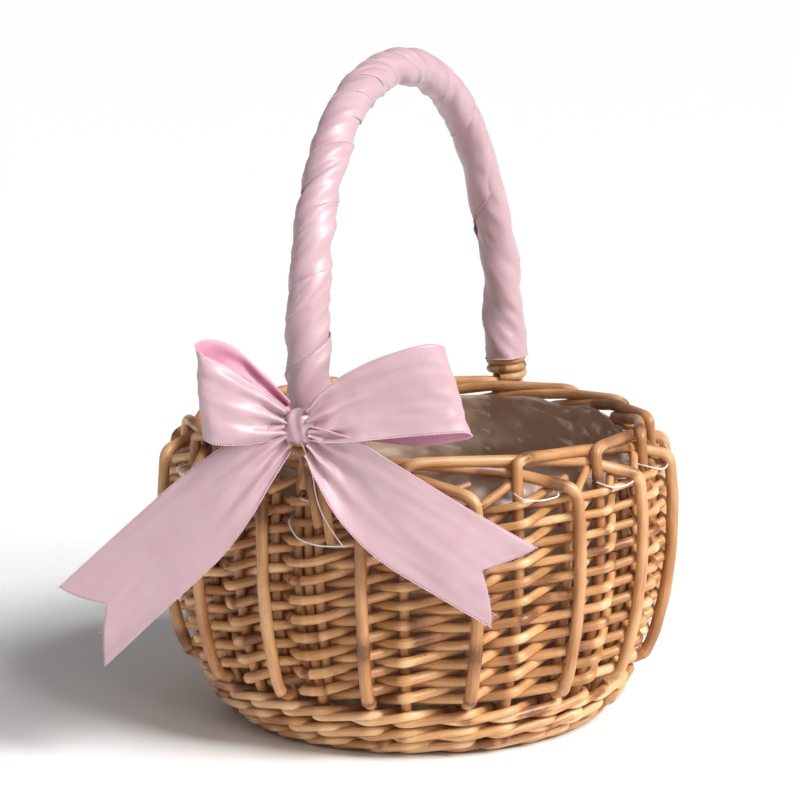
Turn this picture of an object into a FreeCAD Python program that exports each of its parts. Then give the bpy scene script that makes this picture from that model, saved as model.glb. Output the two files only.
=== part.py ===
import FreeCAD, Part

import math
import os

# A round willow flower basket with a fixed, ribbon-wrapped hoop handle and a satin bow.
# Units are millimetres. The origin is the centre of the foot ring on the ground, +Z is up,
# the handle stands in the YZ plane and the bow is tied on its -Y leg.

# ---- driving dimensions ------------------------------------------------------------------
BAYS = 16                  # main stakes round the wall, one per bay
BELLY_RADIUS = 105.5       # line of the stakes where the wall is widest
BELLY_HEIGHT = 88.0
LOWER_CURVE = 170.0        # radius of the wall's profile below the belly
UPPER_CURVE = 265.0        # and above it
FOOT_TUCK = 9.0            # how far the foot draws in at the ground
FOOT_HEIGHT = 14.0         # below this height
RIM_HEIGHT = 130.0         # centre line of the topmost border rods

STAKE_DIA = 4.4
BY_STAKE_DIA = 4.2
STAKE_HEIGHTS = (5.5, 9.0, 14.0, 24.0, 36.0, 56.0, 78.0)    # corners of a stake in the wall
STAKE_BEND = 7.0
BY_STAKE_BEND = 60.0
WEAVER_DIA = 3.9
WEAVE_BOTTOM = 26.5
WEAVE_TOP = 114.0
WEAVE_END_RISE = 7.5       # a weaver's last step, up under the border
WEAVE_PITCH = 4.15         # rise of a weaver from one stake to the next
WEAVE_SWING = 5.2          # corners of a weaver's zigzag, from the line of the stakes
WEAVE_BEND = 6.0           # radius that rounds those corners
LEG_SPREAD = 0.16          # bays either side of a handle leg that a weaver passes wide

WALE_DIA = 3.8
WALE_ROUNDS = 3
WALE_SWING = 4.35
WALE_STEP = 3.95           # between the two rods that show on the outside at a stake
WALE_BEND = 14.0
FOOT_SHAVE = 0.25          # taken off the underside, so that the basket stands flat

RIB_STAND_OFF = 8.8        # a border rod's outer stretch, from the line of the stakes
RIB_TOP = 117.5
RIB_BOTTOM = 26.6
RIB_SHIFT = 2.5            # bays from a stake to its own rib

BASE_STICK_DIA = 4.6
BASE_HEIGHT = 8.6          # middle of the woven base
BASE_ROD_DIA = 3.0
BASE_ROUNDS = 12
BASE_FIRST_RADIUS = 25.0
BASE_ROUND_PITCH = 4.0
BASE_SWING = 3.9
BASE_STICKS = 4            # in each of the two crossed layers
BASE_KNEE = 17.0           # where the sticks start to fan out
BASE_TRIM = 0.3            # share of a round's first and last run that is cut away

HANDLE_HALF_SPAN = 109.2
HANDLE_SPRING = 150.0      # height where the legs start to curve
HANDLE_RISE = 135.4        # from there to the top of the arch
HANDLE_SQUARENESS = 2.2    # exponent of the arch, 2 for an ellipse
ARCH_CORNERS = 10
HANDLE_LEAN = 3.6          # degrees, towards -X
HANDLE_ROD_DIA = 4.4
HANDLE_RODS = 5
WRAP_DIA = 17.4
WRAP_FOOT = 144.0          # height where the ribbon wrap ends on each leg
BINDING_DIA = 16.6
BINDING_TURNS = 2
BINDING_PITCH = 4.4
BINDING_DROP = 16.0        # from the springing of the arch to the lowest turn
ARCH_BEND = 400.0          # wide enough that the arcs of the handle run into each other
CORE_CLEARANCE = 0.1

LINER_GAP = 9.6            # from the line of the stakes to the liner's outer face
LINER_THICKNESS = 0.8
LINER_FLOOR = 14.8
LINER_TOP = 123.0
THREAD_DIA = 0.8
TIE_THREAD_DIA = 0.6

RIBBON_WIDTH = 38.0
RIBBON_THICKNESS = 1.6
KNOT_CENTRE = (2.4, -125.5, 149.0)
KNOT_SIZE = (14.0, 13.0, 14.0)
KNOT_ROUNDING = 4.5
TAIL_NOTCH = 11.0          # depth of the V cut in a ribbon end

BAY_ANGLE = 2 * math.pi / BAYS
FRONT, BACK = 0, BAYS // 2

os.makedirs("parts", exist_ok=True)


# ---- helpers -----------------------------------------------------------------------------
def vec(x, y, z):
    return FreeCAD.Vector(x, y, z)


def polar(radius, angle, z):
    return vec(radius * math.sin(angle), -radius * math.cos(angle), z)


def wall_radius(z):
    """Radius of the line of the stakes at height z: two arcs that meet at the belly."""
    curve = LOWER_CURVE if z < BELLY_HEIGHT else UPPER_CURVE
    tuck = FOOT_TUCK * max(0.0, 1 - z / FOOT_HEIGHT) ** 2
    return BELLY_RADIUS - tuck - curve + math.sqrt(curve ** 2 - (z - BELLY_HEIGHT) ** 2)


def at(bay, stand_off, z):
    """A point of the wall: bays are counted from -Y towards +X, stand_off is outwards."""
    return polar(wall_radius(z) + stand_off, bay * BAY_ANGLE, z)


def rounded_path(points, bend_radius):
    """Straight runs between the points, with a tangent arc at each corner."""
    cuts = [(points[0], points[0])]
    arcs = []
    for before, corner, after in zip(points, points[1:], points[2:]):
        to_before, to_after = before - corner, after - corner
        turn = math.pi - to_before.getAngle(to_after)
        reach = 0.45 * min(to_before.Length, to_after.Length)
        setback = min(reach, bend_radius * math.tan(turn / 2))
        to_before.normalize()
        to_after.normalize()
        start, end = corner + to_before * setback, corner + to_after * setback
        if turn < 0.01:
            continue
        radius = setback / math.tan(turn / 2)
        bisector = to_before + to_after
        bisector.normalize()
        middle = corner + bisector * (radius / math.cos(turn / 2) - radius)
        cuts.append((start, end))
        arcs.append(Part.Arc(start, middle, end).toShape())
    cuts.append((points[-1], points[-1]))
    edges = []
    for index in range(len(cuts) - 1):
        edges.append(Part.LineSegment(cuts[index][1], cuts[index + 1][0]).toShape())
        if index < len(arcs):
            edges.append(arcs[index])
    return Part.Wire(edges)


def bent_rod(points, diameter, bend_radius=12.0):
    """A round rod along straight runs and tangent arcs."""
    path = rounded_path(points, bend_radius)
    start = points[0]
    direction = points[1] - points[0]
    section = Part.Wire(Part.Circle(start, direction, diameter / 2).toShape())
    return path.makePipeShell([section], True, False)


def tube_between(points, outer, inner, bend_radius):
    path = rounded_path(points, bend_radius)
    direction = points[1] - points[0]
    shells = []
    for diameter in (outer, inner):
        section = Part.Wire(Part.Circle(points[0], direction, diameter / 2).toShape())
        shells.append(path.makePipeShell([section], True, False))
    return shells[0].cut(shells[1])


def export(node, shapes):
    """Write one node: a single solid, or a group of separate solids."""
    if not isinstance(shapes, list):
        shapes = [shapes]
    solids = [solid for shape in shapes for solid in shape.Solids if abs(solid.Volume) > 1.0]
    bad = [solid for solid in solids if not solid.isValid() or solid.Volume <= 0]
    if bad or not solids:
        print("NOT VALID", node, len(bad), "of", len(solids))
    shape = solids[0] if len(solids) == 1 else Part.makeCompound(solids)
    shape.exportStep("parts/" + node + ".step")
    print(node, len(solids), round(sum(solid.Volume for solid in solids)))


# ---- woven base --------------------------------------------------------------------------
def base_stick(place, along_x, level):
    """One of four sticks that lie side by side in the middle and fan out to the foot."""
    from_middle = place - (BASE_STICKS - 1) / 2
    side = from_middle * (BASE_STICK_DIA + 0.1)
    reach = wall_radius(BASE_HEIGHT) - 6.8
    fan = from_middle * BAY_ANGLE
    points = []
    for end in (-1, 1):
        tip = (end * reach * math.cos(fan), reach * math.sin(fan), BASE_HEIGHT)
        knee = (end * BASE_KNEE, side, level)
        points += [tip, knee] if end < 0 else [knee, tip]
    if along_x:
        return bent_rod([vec(x, y, z) for x, y, z in points], BASE_STICK_DIA, 30.0)
    return bent_rod([vec(-y, x, z) for x, y, z in points], BASE_STICK_DIA, 30.0)


def base_round(index):
    """One round of the base weave, over and under the sixteen stick ends."""
    radius = BASE_FIRST_RADIUS + index * BASE_ROUND_PITCH
    points = []
    for end in range(BAYS + 1):
        rise = BASE_SWING * (-1) ** (end + index)
        angle = (end + 0.5) * BAY_ANGLE
        points.append(polar(radius, angle, BASE_HEIGHT + rise))
    first, last = points[0], points[-1]
    points[0] = first + (points[1] - first) * BASE_TRIM
    points[-1] = last + (points[-2] - last) * BASE_TRIM
    return bent_rod(points, BASE_ROD_DIA, 5.0)


def make_base():
    layer = BASE_STICK_DIA / 2 + 0.05
    export("base_sticks_lower",
           [base_stick(place, True, BASE_HEIGHT - layer) for place in range(BASE_STICKS)])
    export("base_sticks_upper",
           [base_stick(place, False, BASE_HEIGHT + layer) for place in range(BASE_STICKS)])
    export("base_weave", [base_round(index) for index in range(BASE_ROUNDS)])


# ---- foot: three-rod wale ----------------------------------------------------------------
def wale_rod(start, low):
    """A rod that passes outside two stakes, rising, and then inside one, falling."""
    points = []
    for step in range(2 * BAYS):
        phase = step % 3
        bay = BACK + (start + step) / 2
        if phase == 0:
            points.append(at(bay - 0.06, WALE_SWING, low))
        elif phase == 1:
            points.append(at(bay + 0.06, WALE_SWING, low + WALE_STEP))
        else:
            points.append(at(bay - 0.14, -WALE_SWING, low + 0.85 * WALE_STEP))
            points.append(at(bay + 0.14, -WALE_SWING, low + 0.15 * WALE_STEP))
    return bent_rod(points, WALE_DIA, WALE_BEND)


def make_foot():
    ground = Part.makeBox(400, 400, 20, vec(-200, -200, -20))
    for level in range(WALE_ROUNDS):
        low = WALE_DIA / 2 - FOOT_SHAVE + 2 * WALE_STEP * level
        rods = [wale_rod(start, low) for start in range(3)]
        if level == 0:
            rods = [rod.cut(ground) for rod in rods]
        export("foot_wale_%d" % (level + 1), rods)


# ---- stakes, border and ribs -------------------------------------------------------------
def border_stake(number):
    """Up the wall, over the rim, behind the next two stakes and down outside as a rib."""
    points = [at(number, 0, z) for z in STAKE_HEIGHTS + (100, 117, RIM_HEIGHT)]
    points.append(at(number + 1.0, -5.0, RIM_HEIGHT - 0.6))
    points.append(at(number + 1.5, -6.4, RIM_HEIGHT - 3.0))
    points.append(at(number + 2.0, -5.6, RIM_HEIGHT - 5.6))
    rib = number + RIB_SHIFT
    points += [at(rib, RIB_STAND_OFF, z) for z in (RIB_TOP, 100, 78, 56, 38)]
    points.append(at(rib, RIB_STAND_OFF - 0.8, RIB_BOTTOM + 2.5))
    points.append(at(rib, 3.4, RIB_BOTTOM))
    return bent_rod(points, STAKE_DIA, STAKE_BEND)


def by_stake(number):
    points = [at(number + 0.5, 0, z) for z in STAKE_HEIGHTS + (98, 114.5)]
    return bent_rod(points, BY_STAKE_DIA, BY_STAKE_BEND)


def make_stakes():
    for number in range(BAYS):
        export("border_stake_%02d" % (number + 1), border_stake(number))
    export("by_stakes", [by_stake(number) for number in range(BAYS)])


# ---- side weave --------------------------------------------------------------------------
def weaver(start):
    """A side rod that climbs from the wale to the border, inside and outside by turns."""
    steps = int((WEAVE_TOP - WEAVE_BOTTOM) / WEAVE_PITCH)
    points = []
    for step in range(steps + 1):
        stake = start + step
        z = WEAVE_BOTTOM + WEAVE_PITCH * step
        stand_off = -WEAVE_SWING if step % 2 == 0 else WEAVE_SWING
        bay = stake / 2
        if stake % (2 * BACK) == 0:
            slope = 2 * WEAVE_PITCH * LEG_SPREAD
            points.append(at(bay - LEG_SPREAD, stand_off, z - slope))
            points.append(at(bay + LEG_SPREAD, stand_off, z + slope))
        else:
            points.append(at(bay, stand_off, z))
    points.append(at((start + steps + 1) / 2, -0.8 * stand_off, z + WEAVE_END_RISE))
    return bent_rod(points, WEAVER_DIA, WEAVE_BEND)


def make_side_weave():
    for pair in range(BAYS):
        export("side_weavers_%02d" % (pair + 1), [weaver(2 * pair), weaver(2 * pair + 1)])


# ---- handle ------------------------------------------------------------------------------
def leaned(x, y, z):
    """A point of the handle, which leans from the height of the rim."""
    over_rim = max(0.0, z - RIM_HEIGHT)
    return vec(x - over_rim * math.tan(math.radians(HANDLE_LEAN)), y, z)


def arch_points(offset=0.0, aside=0.0):
    """Corners round the arch from the -Y leg to the +Y leg, between the springing points."""
    step = math.pi / ARCH_CORNERS
    reach = 1 / math.cos(step / 2)
    power = 2 / HANDLE_SQUARENESS
    points = []
    for index in range(ARCH_CORNERS):
        angle = step / 2 + index * step
        along = math.copysign(abs(math.cos(angle)) ** power, -math.cos(angle))
        y = (HANDLE_HALF_SPAN + offset) * along * reach
        z = HANDLE_SPRING + (HANDLE_RISE + offset) * math.sin(angle) ** power * reach
        points.append(leaned(aside, y, z))
    return points


LEG_ENDS = [                # bay, stand-off and height of each rod's end, for one leg
    (-0.115, 0.2, 30.0),
    (0.115, 0.2, 30.0),
    (0.33, RIB_STAND_OFF + 0.6, 98.0),
    (0.20, RIB_STAND_OFF + 0.6, 105.0),
    (-0.02, 5.2, 119.0),
]
ROD_TURNS = (198, 342, 54, 126, 270)    # degrees round the bundle, from +X outwards


def leg_end(leg, rod):
    """The corners below the binding: two rods run down in the weave, three splay outside."""
    bay, stand_off, z = LEG_ENDS[rod]
    place = leg + bay if leg == FRONT else leg - bay
    points = [at(place, stand_off, z)]
    if z < WEAVE_BOTTOM + 1:
        points += [at(place, stand_off, height) for height in (56, 78, 100, 112)]
    return points


def bundle_radius():
    """Radius of the circle on which the rods of the core lie, side by side."""
    return (HANDLE_ROD_DIA / 2 + CORE_CLEARANCE) / math.sin(math.pi / HANDLE_RODS)


def handle_rod(rod):
    """One rod of the handle's core, from its end in one leg to its end in the other."""
    turn = math.radians(ROD_TURNS[rod])
    aside, offset = bundle_radius() * math.cos(turn), bundle_radius() * math.sin(turn)
    leg_top = HANDLE_SPRING - 13.0
    y = HANDLE_HALF_SPAN + offset
    points = leg_end(FRONT, rod)
    points += [leaned(aside, -y, leg_top), leaned(aside, -y, HANDLE_SPRING)]
    points += arch_points(offset, aside)
    points += [leaned(aside, y, HANDLE_SPRING), leaned(aside, y, leg_top)]
    points += reversed(leg_end(BACK, rod))
    return bent_rod(points, HANDLE_ROD_DIA, ARCH_BEND)


def make_handle():
    for rod in range(HANDLE_RODS):
        export("handle_rod_%d" % (rod + 1), handle_rod(rod))
    bore = 2 * bundle_radius() + HANDLE_ROD_DIA + 0.4
    legs = [leaned(0, -HANDLE_HALF_SPAN, WRAP_FOOT), leaned(0, HANDLE_HALF_SPAN, WRAP_FOOT)]
    path = [legs[0]] + arch_points() + [legs[1]]
    export("handle_wrap", tube_between(path, WRAP_DIA, bore, ARCH_BEND))
    for node, side in (("cane_binding_front", -1), ("cane_binding_back", 1)):
        turns = []
        for turn in range(BINDING_TURNS):
            bottom = HANDLE_SPRING - BINDING_DROP + turn * BINDING_PITCH
            centre = leaned(0, side * HANDLE_HALF_SPAN, bottom)
            ring = Part.makeCylinder(BINDING_DIA / 2, BINDING_PITCH - 0.2, centre)
            hole = Part.makeCylinder(bore / 2, BINDING_PITCH - 0.2, centre)
            turns.append(ring.cut(hole))
        export(node, turns)


# ---- liner -------------------------------------------------------------------------------
def liner_profile(gap, floor):
    """Half section of a cup that follows the wall at a distance, closed on the axis."""
    heights = [floor, (floor + BELLY_HEIGHT) / 2, BELLY_HEIGHT]
    lower = [vec(wall_radius(z) - gap, 0, z) for z in heights]
    upper_heights = [BELLY_HEIGHT, (BELLY_HEIGHT + LINER_TOP) / 2, LINER_TOP]
    upper = [vec(wall_radius(z) - gap, 0, z) for z in upper_heights]
    return [
        Part.LineSegment(vec(0, 0, LINER_TOP), vec(0, 0, floor)).toShape(),
        Part.LineSegment(vec(0, 0, floor), lower[0]).toShape(),
        Part.Arc(*lower).toShape(),
        Part.Arc(*upper).toShape(),
        Part.LineSegment(upper[2], vec(0, 0, LINER_TOP)).toShape(),
    ]


def cup(gap, floor):
    face = Part.Face(Part.Wire(liner_profile(gap, floor)))
    return face.revolve(vec(0, 0, 0), vec(0, 0, 1), 360)


def liner_stitch(bay):
    """A stitch that holds the liner: out over the top weaver, along it and back in."""
    points = [
        at(bay + 0.16, -LINER_GAP + 1.4, 118.6),
        at(bay + 0.16, WEAVE_SWING + 3.0, 118.2),
        at(bay + 0.38, WEAVE_SWING + 3.0, 116.4),
        at(bay + 0.38, -LINER_GAP + 1.4, 118.6),
    ]
    return bent_rod(points, THREAD_DIA, 1.6)


def tie_thread():
    """A fine thread that runs from the bow's knot down over the splayed rods."""
    points = [
        vec(KNOT_CENTRE[0], KNOT_CENTRE[1], KNOT_CENTRE[2] - KNOT_SIZE[2] / 2 - 0.2),
        at(0.04, 12.6, 130.0),
        at(0.10, 12.8, 116.0),
        at(0.24, 12.9, 105.0),
        at(0.37, 12.6, 98.0),
    ]
    return bent_rod(points, TIE_THREAD_DIA, 12.0)


def make_liner():
    outside = cup(LINER_GAP, LINER_FLOOR)
    inside = cup(LINER_GAP + LINER_THICKNESS, LINER_FLOOR + LINER_THICKNESS)
    export("liner", outside.cut(inside))
    export("liner_stitches", [liner_stitch(bay) for bay in range(BAYS)])
    export("tie_thread", tie_thread())


# ---- bow ---------------------------------------------------------------------------------
def band(points, widths, thickness):
    """A flat strip through the points: a width vector at each, and an even thickness."""
    sections = []
    for index, (point, width) in enumerate(zip(points, widths)):
        ahead = points[min(index + 1, len(points) - 1)]
        behind = points[max(index - 1, 0)]
        normal = (ahead - behind).cross(width)
        normal.normalize()
        half, skin = width * 0.5, normal * (thickness / 2)
        corners = [point - half - skin, point + half - skin, point + half + skin,
                   point - half + skin]
        sections.append(Part.makePolygon(corners + corners[:1]))
    stretches = [Part.makeLoft([one, two], True, True)
                 for one, two in zip(sections, sections[1:])]
    return stretches[0].multiFuse(stretches[1:])


def placed(route):
    """Centre points and width vectors of a route of (point, direction, share of width)."""
    points = [vec(*point) for point, across, share in route]
    widths = []
    for point, across, share in route:
        width = vec(*across)
        width.normalize()
        widths.append(width * (RIBBON_WIDTH * share))
    return points, widths


def tail(route, notch):
    """A ribbon end that is cut with a V of the given depth."""
    points, widths = placed(route)
    strip = band(points, widths, RIBBON_THICKNESS)
    end, width = points[-1], widths[-1]
    along = points[-1] - points[-2]
    along.normalize()
    normal = along.cross(width)
    normal.normalize()
    corners = [end - width * 0.55 + along, end - along * notch, end + width * 0.55 + along]
    wedge = Part.Face(Part.makePolygon([c - normal * 15 for c in corners + corners[:1]]))
    return strip.cut(wedge.extrude(normal * 30))


def loop(route):
    """A ribbon loop: a band that is narrow at the knot and wide at its far end."""
    return band(*placed(route), RIBBON_THICKNESS)


TAIL_LEFT = [               # centre of the ribbon, direction across it, share of its width
    ((-3.5, -129.5, 143.5), (-2, -2, 14), 0.36),
    ((-13.5, -134.5, 133.5), (-4, -2, 30), 0.80),
    ((-36, -141, 110.5), (-12.6, -5.5, 35.3), 1.0),
    ((-62, -146, 86), (-15, -6.5, 34), 1.0),
    ((-86.5, -150.8, 62.5), (-17, -7, 32), 1.0),
]
TAIL_RIGHT = [
    ((8.5, -127.5, 143.5), (3, -1, 14), 0.36),
    ((19, -125, 131.5), (7, 0, 30), 0.80),
    ((40, -117, 113.5), (12, 5, 36), 1.0),
    ((61, -105.5, 98), (14.5, 6.5, 35), 1.0),
    ((82, -92.5, 82.5), (17.4, 7.5, 34.3), 1.0),
]
LOOP_LEFT = [
    ((-4, -129, 151), (-2, 0, 14), 0.36),
    ((-14, -139.5, 155.5), (-3, 0, 28), 0.74),
    ((-24, -148.5, 160), (-3, -1, 34), 0.90),
    ((-30, -151.5, 163), (-4, -2, 37), 1.0),
    ((-31.5, -144.5, 165), (-1, 0, 37), 1.0),
    ((-24, -136.5, 163), (0, 0, 32), 0.86),
    ((-11, -130, 157), (-1, 0, 22), 0.60),
    ((-4, -124, 152), (-1, 0, 14), 0.36),
]
LOOP_RIGHT = [
    ((8.5, -129, 151), (-1, 0, 14), 0.36),
    ((19, -128, 156), (-3, -1, 24), 0.64),
    ((34, -123.5, 161), (-4, -1, 30), 0.82),
    ((50.5, -117, 165.5), (-6, -2, 33), 0.92),
    ((60, -111, 166), (-11, -3, 30), 0.98),
    ((62, -105, 163.5), (-9, -3, 32), 1.0),
    ((56, -101, 161), (-4, -2, 36), 1.0),
    ((42, -102, 158), (0, 0, 37), 0.95),
    ((25, -110, 154.5), (0, 0, 26), 0.66),
    ((9, -122, 151), (0, 0, 14), 0.36),
]


def make_bow():
    width, depth, height = KNOT_SIZE
    centre = vec(*KNOT_CENTRE)
    knot = Part.makeBox(width, depth, height, centre - vec(width, depth, height) * 0.5)
    export("bow_knot", knot.makeFillet(KNOT_ROUNDING, knot.Edges))
    export("bow_tail_left", tail(TAIL_LEFT, TAIL_NOTCH))
    export("bow_tail_right", tail(TAIL_RIGHT, TAIL_NOTCH))
    export("bow_loop_left", loop(LOOP_LEFT))
    export("bow_loop_right", loop(LOOP_RIGHT))


make_base()
make_foot()
make_stakes()
make_side_weave()
make_handle()
make_liner()
make_bow()
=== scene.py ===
import logging
import math
import random
from collections.abc import Iterable, Sequence
from dataclasses import dataclass
from enum import Enum

import bpy
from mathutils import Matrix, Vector, noise


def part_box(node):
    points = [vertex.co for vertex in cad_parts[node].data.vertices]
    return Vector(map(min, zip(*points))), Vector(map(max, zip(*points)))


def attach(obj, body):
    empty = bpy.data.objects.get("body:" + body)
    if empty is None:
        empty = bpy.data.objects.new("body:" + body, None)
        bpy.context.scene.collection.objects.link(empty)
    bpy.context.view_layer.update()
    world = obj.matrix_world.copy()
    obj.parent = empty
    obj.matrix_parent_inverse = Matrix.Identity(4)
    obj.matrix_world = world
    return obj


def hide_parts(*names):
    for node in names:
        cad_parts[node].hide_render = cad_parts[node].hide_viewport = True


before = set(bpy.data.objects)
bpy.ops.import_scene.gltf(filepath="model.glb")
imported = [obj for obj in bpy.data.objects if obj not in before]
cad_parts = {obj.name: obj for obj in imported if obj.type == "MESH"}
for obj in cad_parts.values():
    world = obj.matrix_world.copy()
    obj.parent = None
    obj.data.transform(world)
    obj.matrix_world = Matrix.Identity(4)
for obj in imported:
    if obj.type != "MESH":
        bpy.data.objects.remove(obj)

logging.basicConfig(level=logging.INFO, format="%(message)s")
LOG = logging.getLogger("basket")
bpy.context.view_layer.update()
MM = 0.001
BODY = "root"
Value = bpy.types.Node | bpy.types.NodeSocket | float | str | tuple


class Slot(Enum):
    """Material slots of the record."""

    WILLOW = "willow"
    STAKE = "willow_stake"
    CORE = "willow_core"
    CANE = "cane"
    RIBBON = "satin_ribbon"
    FILM = "clear_film"
    THREAD = "white_thread"


class Side(Enum):
    """The two legs of the handle: the half bay each stands on, and its sign along Y."""

    FRONT = (0, -1)
    BACK = (16, 1)


# ---- node trees ---------------------------------------------------------------------------
class Graph:
    """Short calls for building a shader or geometry node tree."""

    def __init__(self, tree: bpy.types.NodeTree) -> None:
        """Keeps the tree to build in."""
        self.tree = tree

    def add(self, kind: str, inputs: dict | None = None, **settings: object) -> bpy.types.Node:
        """Adds a node.

        Args:
            kind: the node's type name.
            inputs: a value, socket or node for each input name or index.
            **settings: attributes of the node, set before its inputs.

        Returns:
            The new node.
        """
        node = self.tree.nodes.new(kind)
        for name, value in settings.items():
            setattr(node, name, value)
        for key, value in (inputs or {}).items():
            self.feed(node.inputs[key], value)
        return node

    def feed(self, socket: bpy.types.NodeSocket, value: Value) -> None:
        """Links something into an input, or sets the input's own value.

        Args:
            socket: the input.
            value: a socket, a node, whose first output is taken, or a constant.
        """
        if isinstance(value, bpy.types.Node):
            value = value.outputs[0]
        if isinstance(value, bpy.types.NodeSocket):
            self.tree.links.new(value, socket)
        else:
            socket.default_value = value

    def math(self, operation: str, *values: Value) -> bpy.types.NodeSocket:
        """The result of a math node."""
        return self.add("ShaderNodeMath", dict(enumerate(values)), operation=operation).outputs[0]

    def plus(self, one: Value, two: Value) -> bpy.types.NodeSocket:
        """The sum of two values."""
        return self.math("ADD", one, two)

    def minus(self, one: Value, two: Value) -> bpy.types.NodeSocket:
        """The first value less the second."""
        return self.math("SUBTRACT", one, two)

    def times(self, one: Value, two: Value) -> bpy.types.NodeSocket:
        """The product of two values."""
        return self.math("MULTIPLY", one, two)

    def vector(self, operation: str, *values: Value) -> bpy.types.NodeSocket:
        """The vector result of a vector math node."""
        return self.add("ShaderNodeVectorMath", dict(enumerate(values)), operation=operation).outputs[0]

    def scaled(self, vector: Value, factor: Value) -> bpy.types.NodeSocket:
        """A vector times a number."""
        return self.add("ShaderNodeVectorMath", {0: vector, "Scale": factor}, operation="SCALE").outputs[0]


class GeometryTree(Graph):
    """A geometry node tree with named inputs that is run once on a mesh."""

    def __init__(
        self, name: str, floats: Sequence[str], integers: Sequence[str] = (), vectors: Sequence[str] = ()
    ) -> None:
        """Makes the tree with its sockets; the input Material is always there.

        Args:
            name: the tree's name.
            floats: the names of its inputs that are numbers.
            integers: those that are counts.
            vectors: those that are vectors.
        """
        super().__init__(bpy.data.node_groups.new(name, "GeometryNodeTree"))
        face = self.tree.interface
        face.new_socket("Geometry", in_out="INPUT", socket_type="NodeSocketGeometry")
        kinds = {"Float": floats, "Int": integers, "Vector": vectors, "Material": ("Material",)}
        for kind, labels in kinds.items():
            for label in labels:
                face.new_socket(label, in_out="INPUT", socket_type="NodeSocket" + kind)
        face.new_socket("Geometry", in_out="OUTPUT", socket_type="NodeSocketGeometry")
        self.given = self.tree.nodes.new("NodeGroupInput").outputs
        self.result = self.tree.nodes.new("NodeGroupOutput").inputs[0]

    def named(self, attribute: str) -> bpy.types.NodeSocket:
        """A named number of the geometry."""
        return self.add("GeometryNodeInputNamedAttribute", {"Name": attribute}, data_type="FLOAT").outputs[0]

    def curve(self) -> bpy.types.Node:
        """The lines of the input geometry as curves."""
        return self.add("GeometryNodeMeshToCurve", {"Mesh": self.given["Geometry"]})

    def captured(self, geometry: Value, kind: str, value: Value) -> bpy.types.Node:
        """Captures a field on a curve's points.

        Args:
            geometry: the curve.
            kind: the field's data type.
            value: the field.

        Returns:
            The node: its first output is the curve, its second the field.
        """
        node = self.tree.nodes.new("GeometryNodeCaptureAttribute")
        node.capture_items.new(kind, "kept")
        self.feed(node.inputs[0], geometry)
        self.feed(node.inputs[1], value)
        return node

    def end(self, geometry: Value) -> None:
        """Closes the tree: smooth shading, realised instances and the material input.

        Args:
            geometry: what the tree has made.
        """
        shaded = self.add("GeometryNodeSetShadeSmooth", {"Geometry": geometry, "Shade Smooth": True})
        real = self.add("GeometryNodeRealizeInstances", {"Geometry": shaded})
        dress = {"Geometry": real, "Material": self.given["Material"]}
        self.feed(self.result, self.add("GeometryNodeSetMaterial", dress))

    def run(self, mesh: bpy.types.Mesh, values: dict) -> bpy.types.Mesh:
        """Evaluates the tree on a mesh.

        Args:
            mesh: the geometry input.
            values: a value for each named input.

        Returns:
            A new plain mesh.
        """
        carrier = bpy.data.objects.new("carrier", mesh)
        bpy.context.scene.collection.objects.link(carrier)
        modifier = carrier.modifiers.new("nodes", "NODES")
        modifier.node_group = self.tree
        for item in self.tree.interface.items_tree:
            if item.item_type == "SOCKET" and item.in_out == "INPUT" and item.name in values:
                modifier[item.identifier] = values[item.name]
        graph = bpy.context.evaluated_depsgraph_get()
        plain = bpy.data.meshes.new_from_object(
            carrier.evaluated_get(graph), preserve_all_data_layers=True, depsgraph=graph
        )
        bpy.data.objects.remove(carrier)
        return plain


# ---- finishes -----------------------------------------------------------------------------
class Finish(Graph):
    """A material with a Principled surface, and the nodes that feed it."""

    def __init__(self, name: str) -> None:
        """Makes the material and finds its surface node.

        Args:
            name: the material's name.
        """
        self.material = bpy.data.materials.new(name)
        self.material.use_nodes = True
        super().__init__(self.material.node_tree)
        self.surface = self.tree.nodes["Principled BSDF"]

    def attribute(self, name: str, output: str) -> bpy.types.NodeSocket:
        """An output of a mesh attribute."""
        return self.add("ShaderNodeAttribute", attribute_name=name).outputs[output]

    def noise(self, place: Value, stretch: tuple, detail: float) -> bpy.types.NodeSocket:
        """A noise value over coordinates that are multiplied by a stretch first."""
        inputs = {"Vector": self.vector("MULTIPLY", place, stretch), "Scale": 1.0, "Detail": detail}
        return self.add("ShaderNodeTexNoise", inputs).outputs["Fac"]

    def ramp(self, value: Value, stops: Sequence[tuple[float, tuple]]) -> bpy.types.NodeSocket:
        """A colour ramp.

        Args:
            value: what it is looked up by.
            stops: a place from 0 to 1 and a colour, for each stop.

        Returns:
            The colour.
        """
        node = self.add("ShaderNodeValToRGB", {0: value})
        elements = node.color_ramp.elements
        while len(elements) < len(stops):
            elements.new(0.5)
        for element, (place, colour) in zip(elements, stops):
            element.position = place
            element.color = (*colour, 1.0)
        return node.outputs[0]

    def bump(self, height: Value, strength: float, distance: float) -> None:
        """Bumps the surface by a height value."""
        inputs = {"Height": height, "Strength": strength, "Distance": distance}
        self.feed(self.surface.inputs["Normal"], self.add("ShaderNodeBump", inputs))

    def settings(self, values: dict) -> None:
        """Constant or linked inputs of the surface."""
        for name, value in values.items():
            self.feed(self.surface.inputs[name], value)


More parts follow.
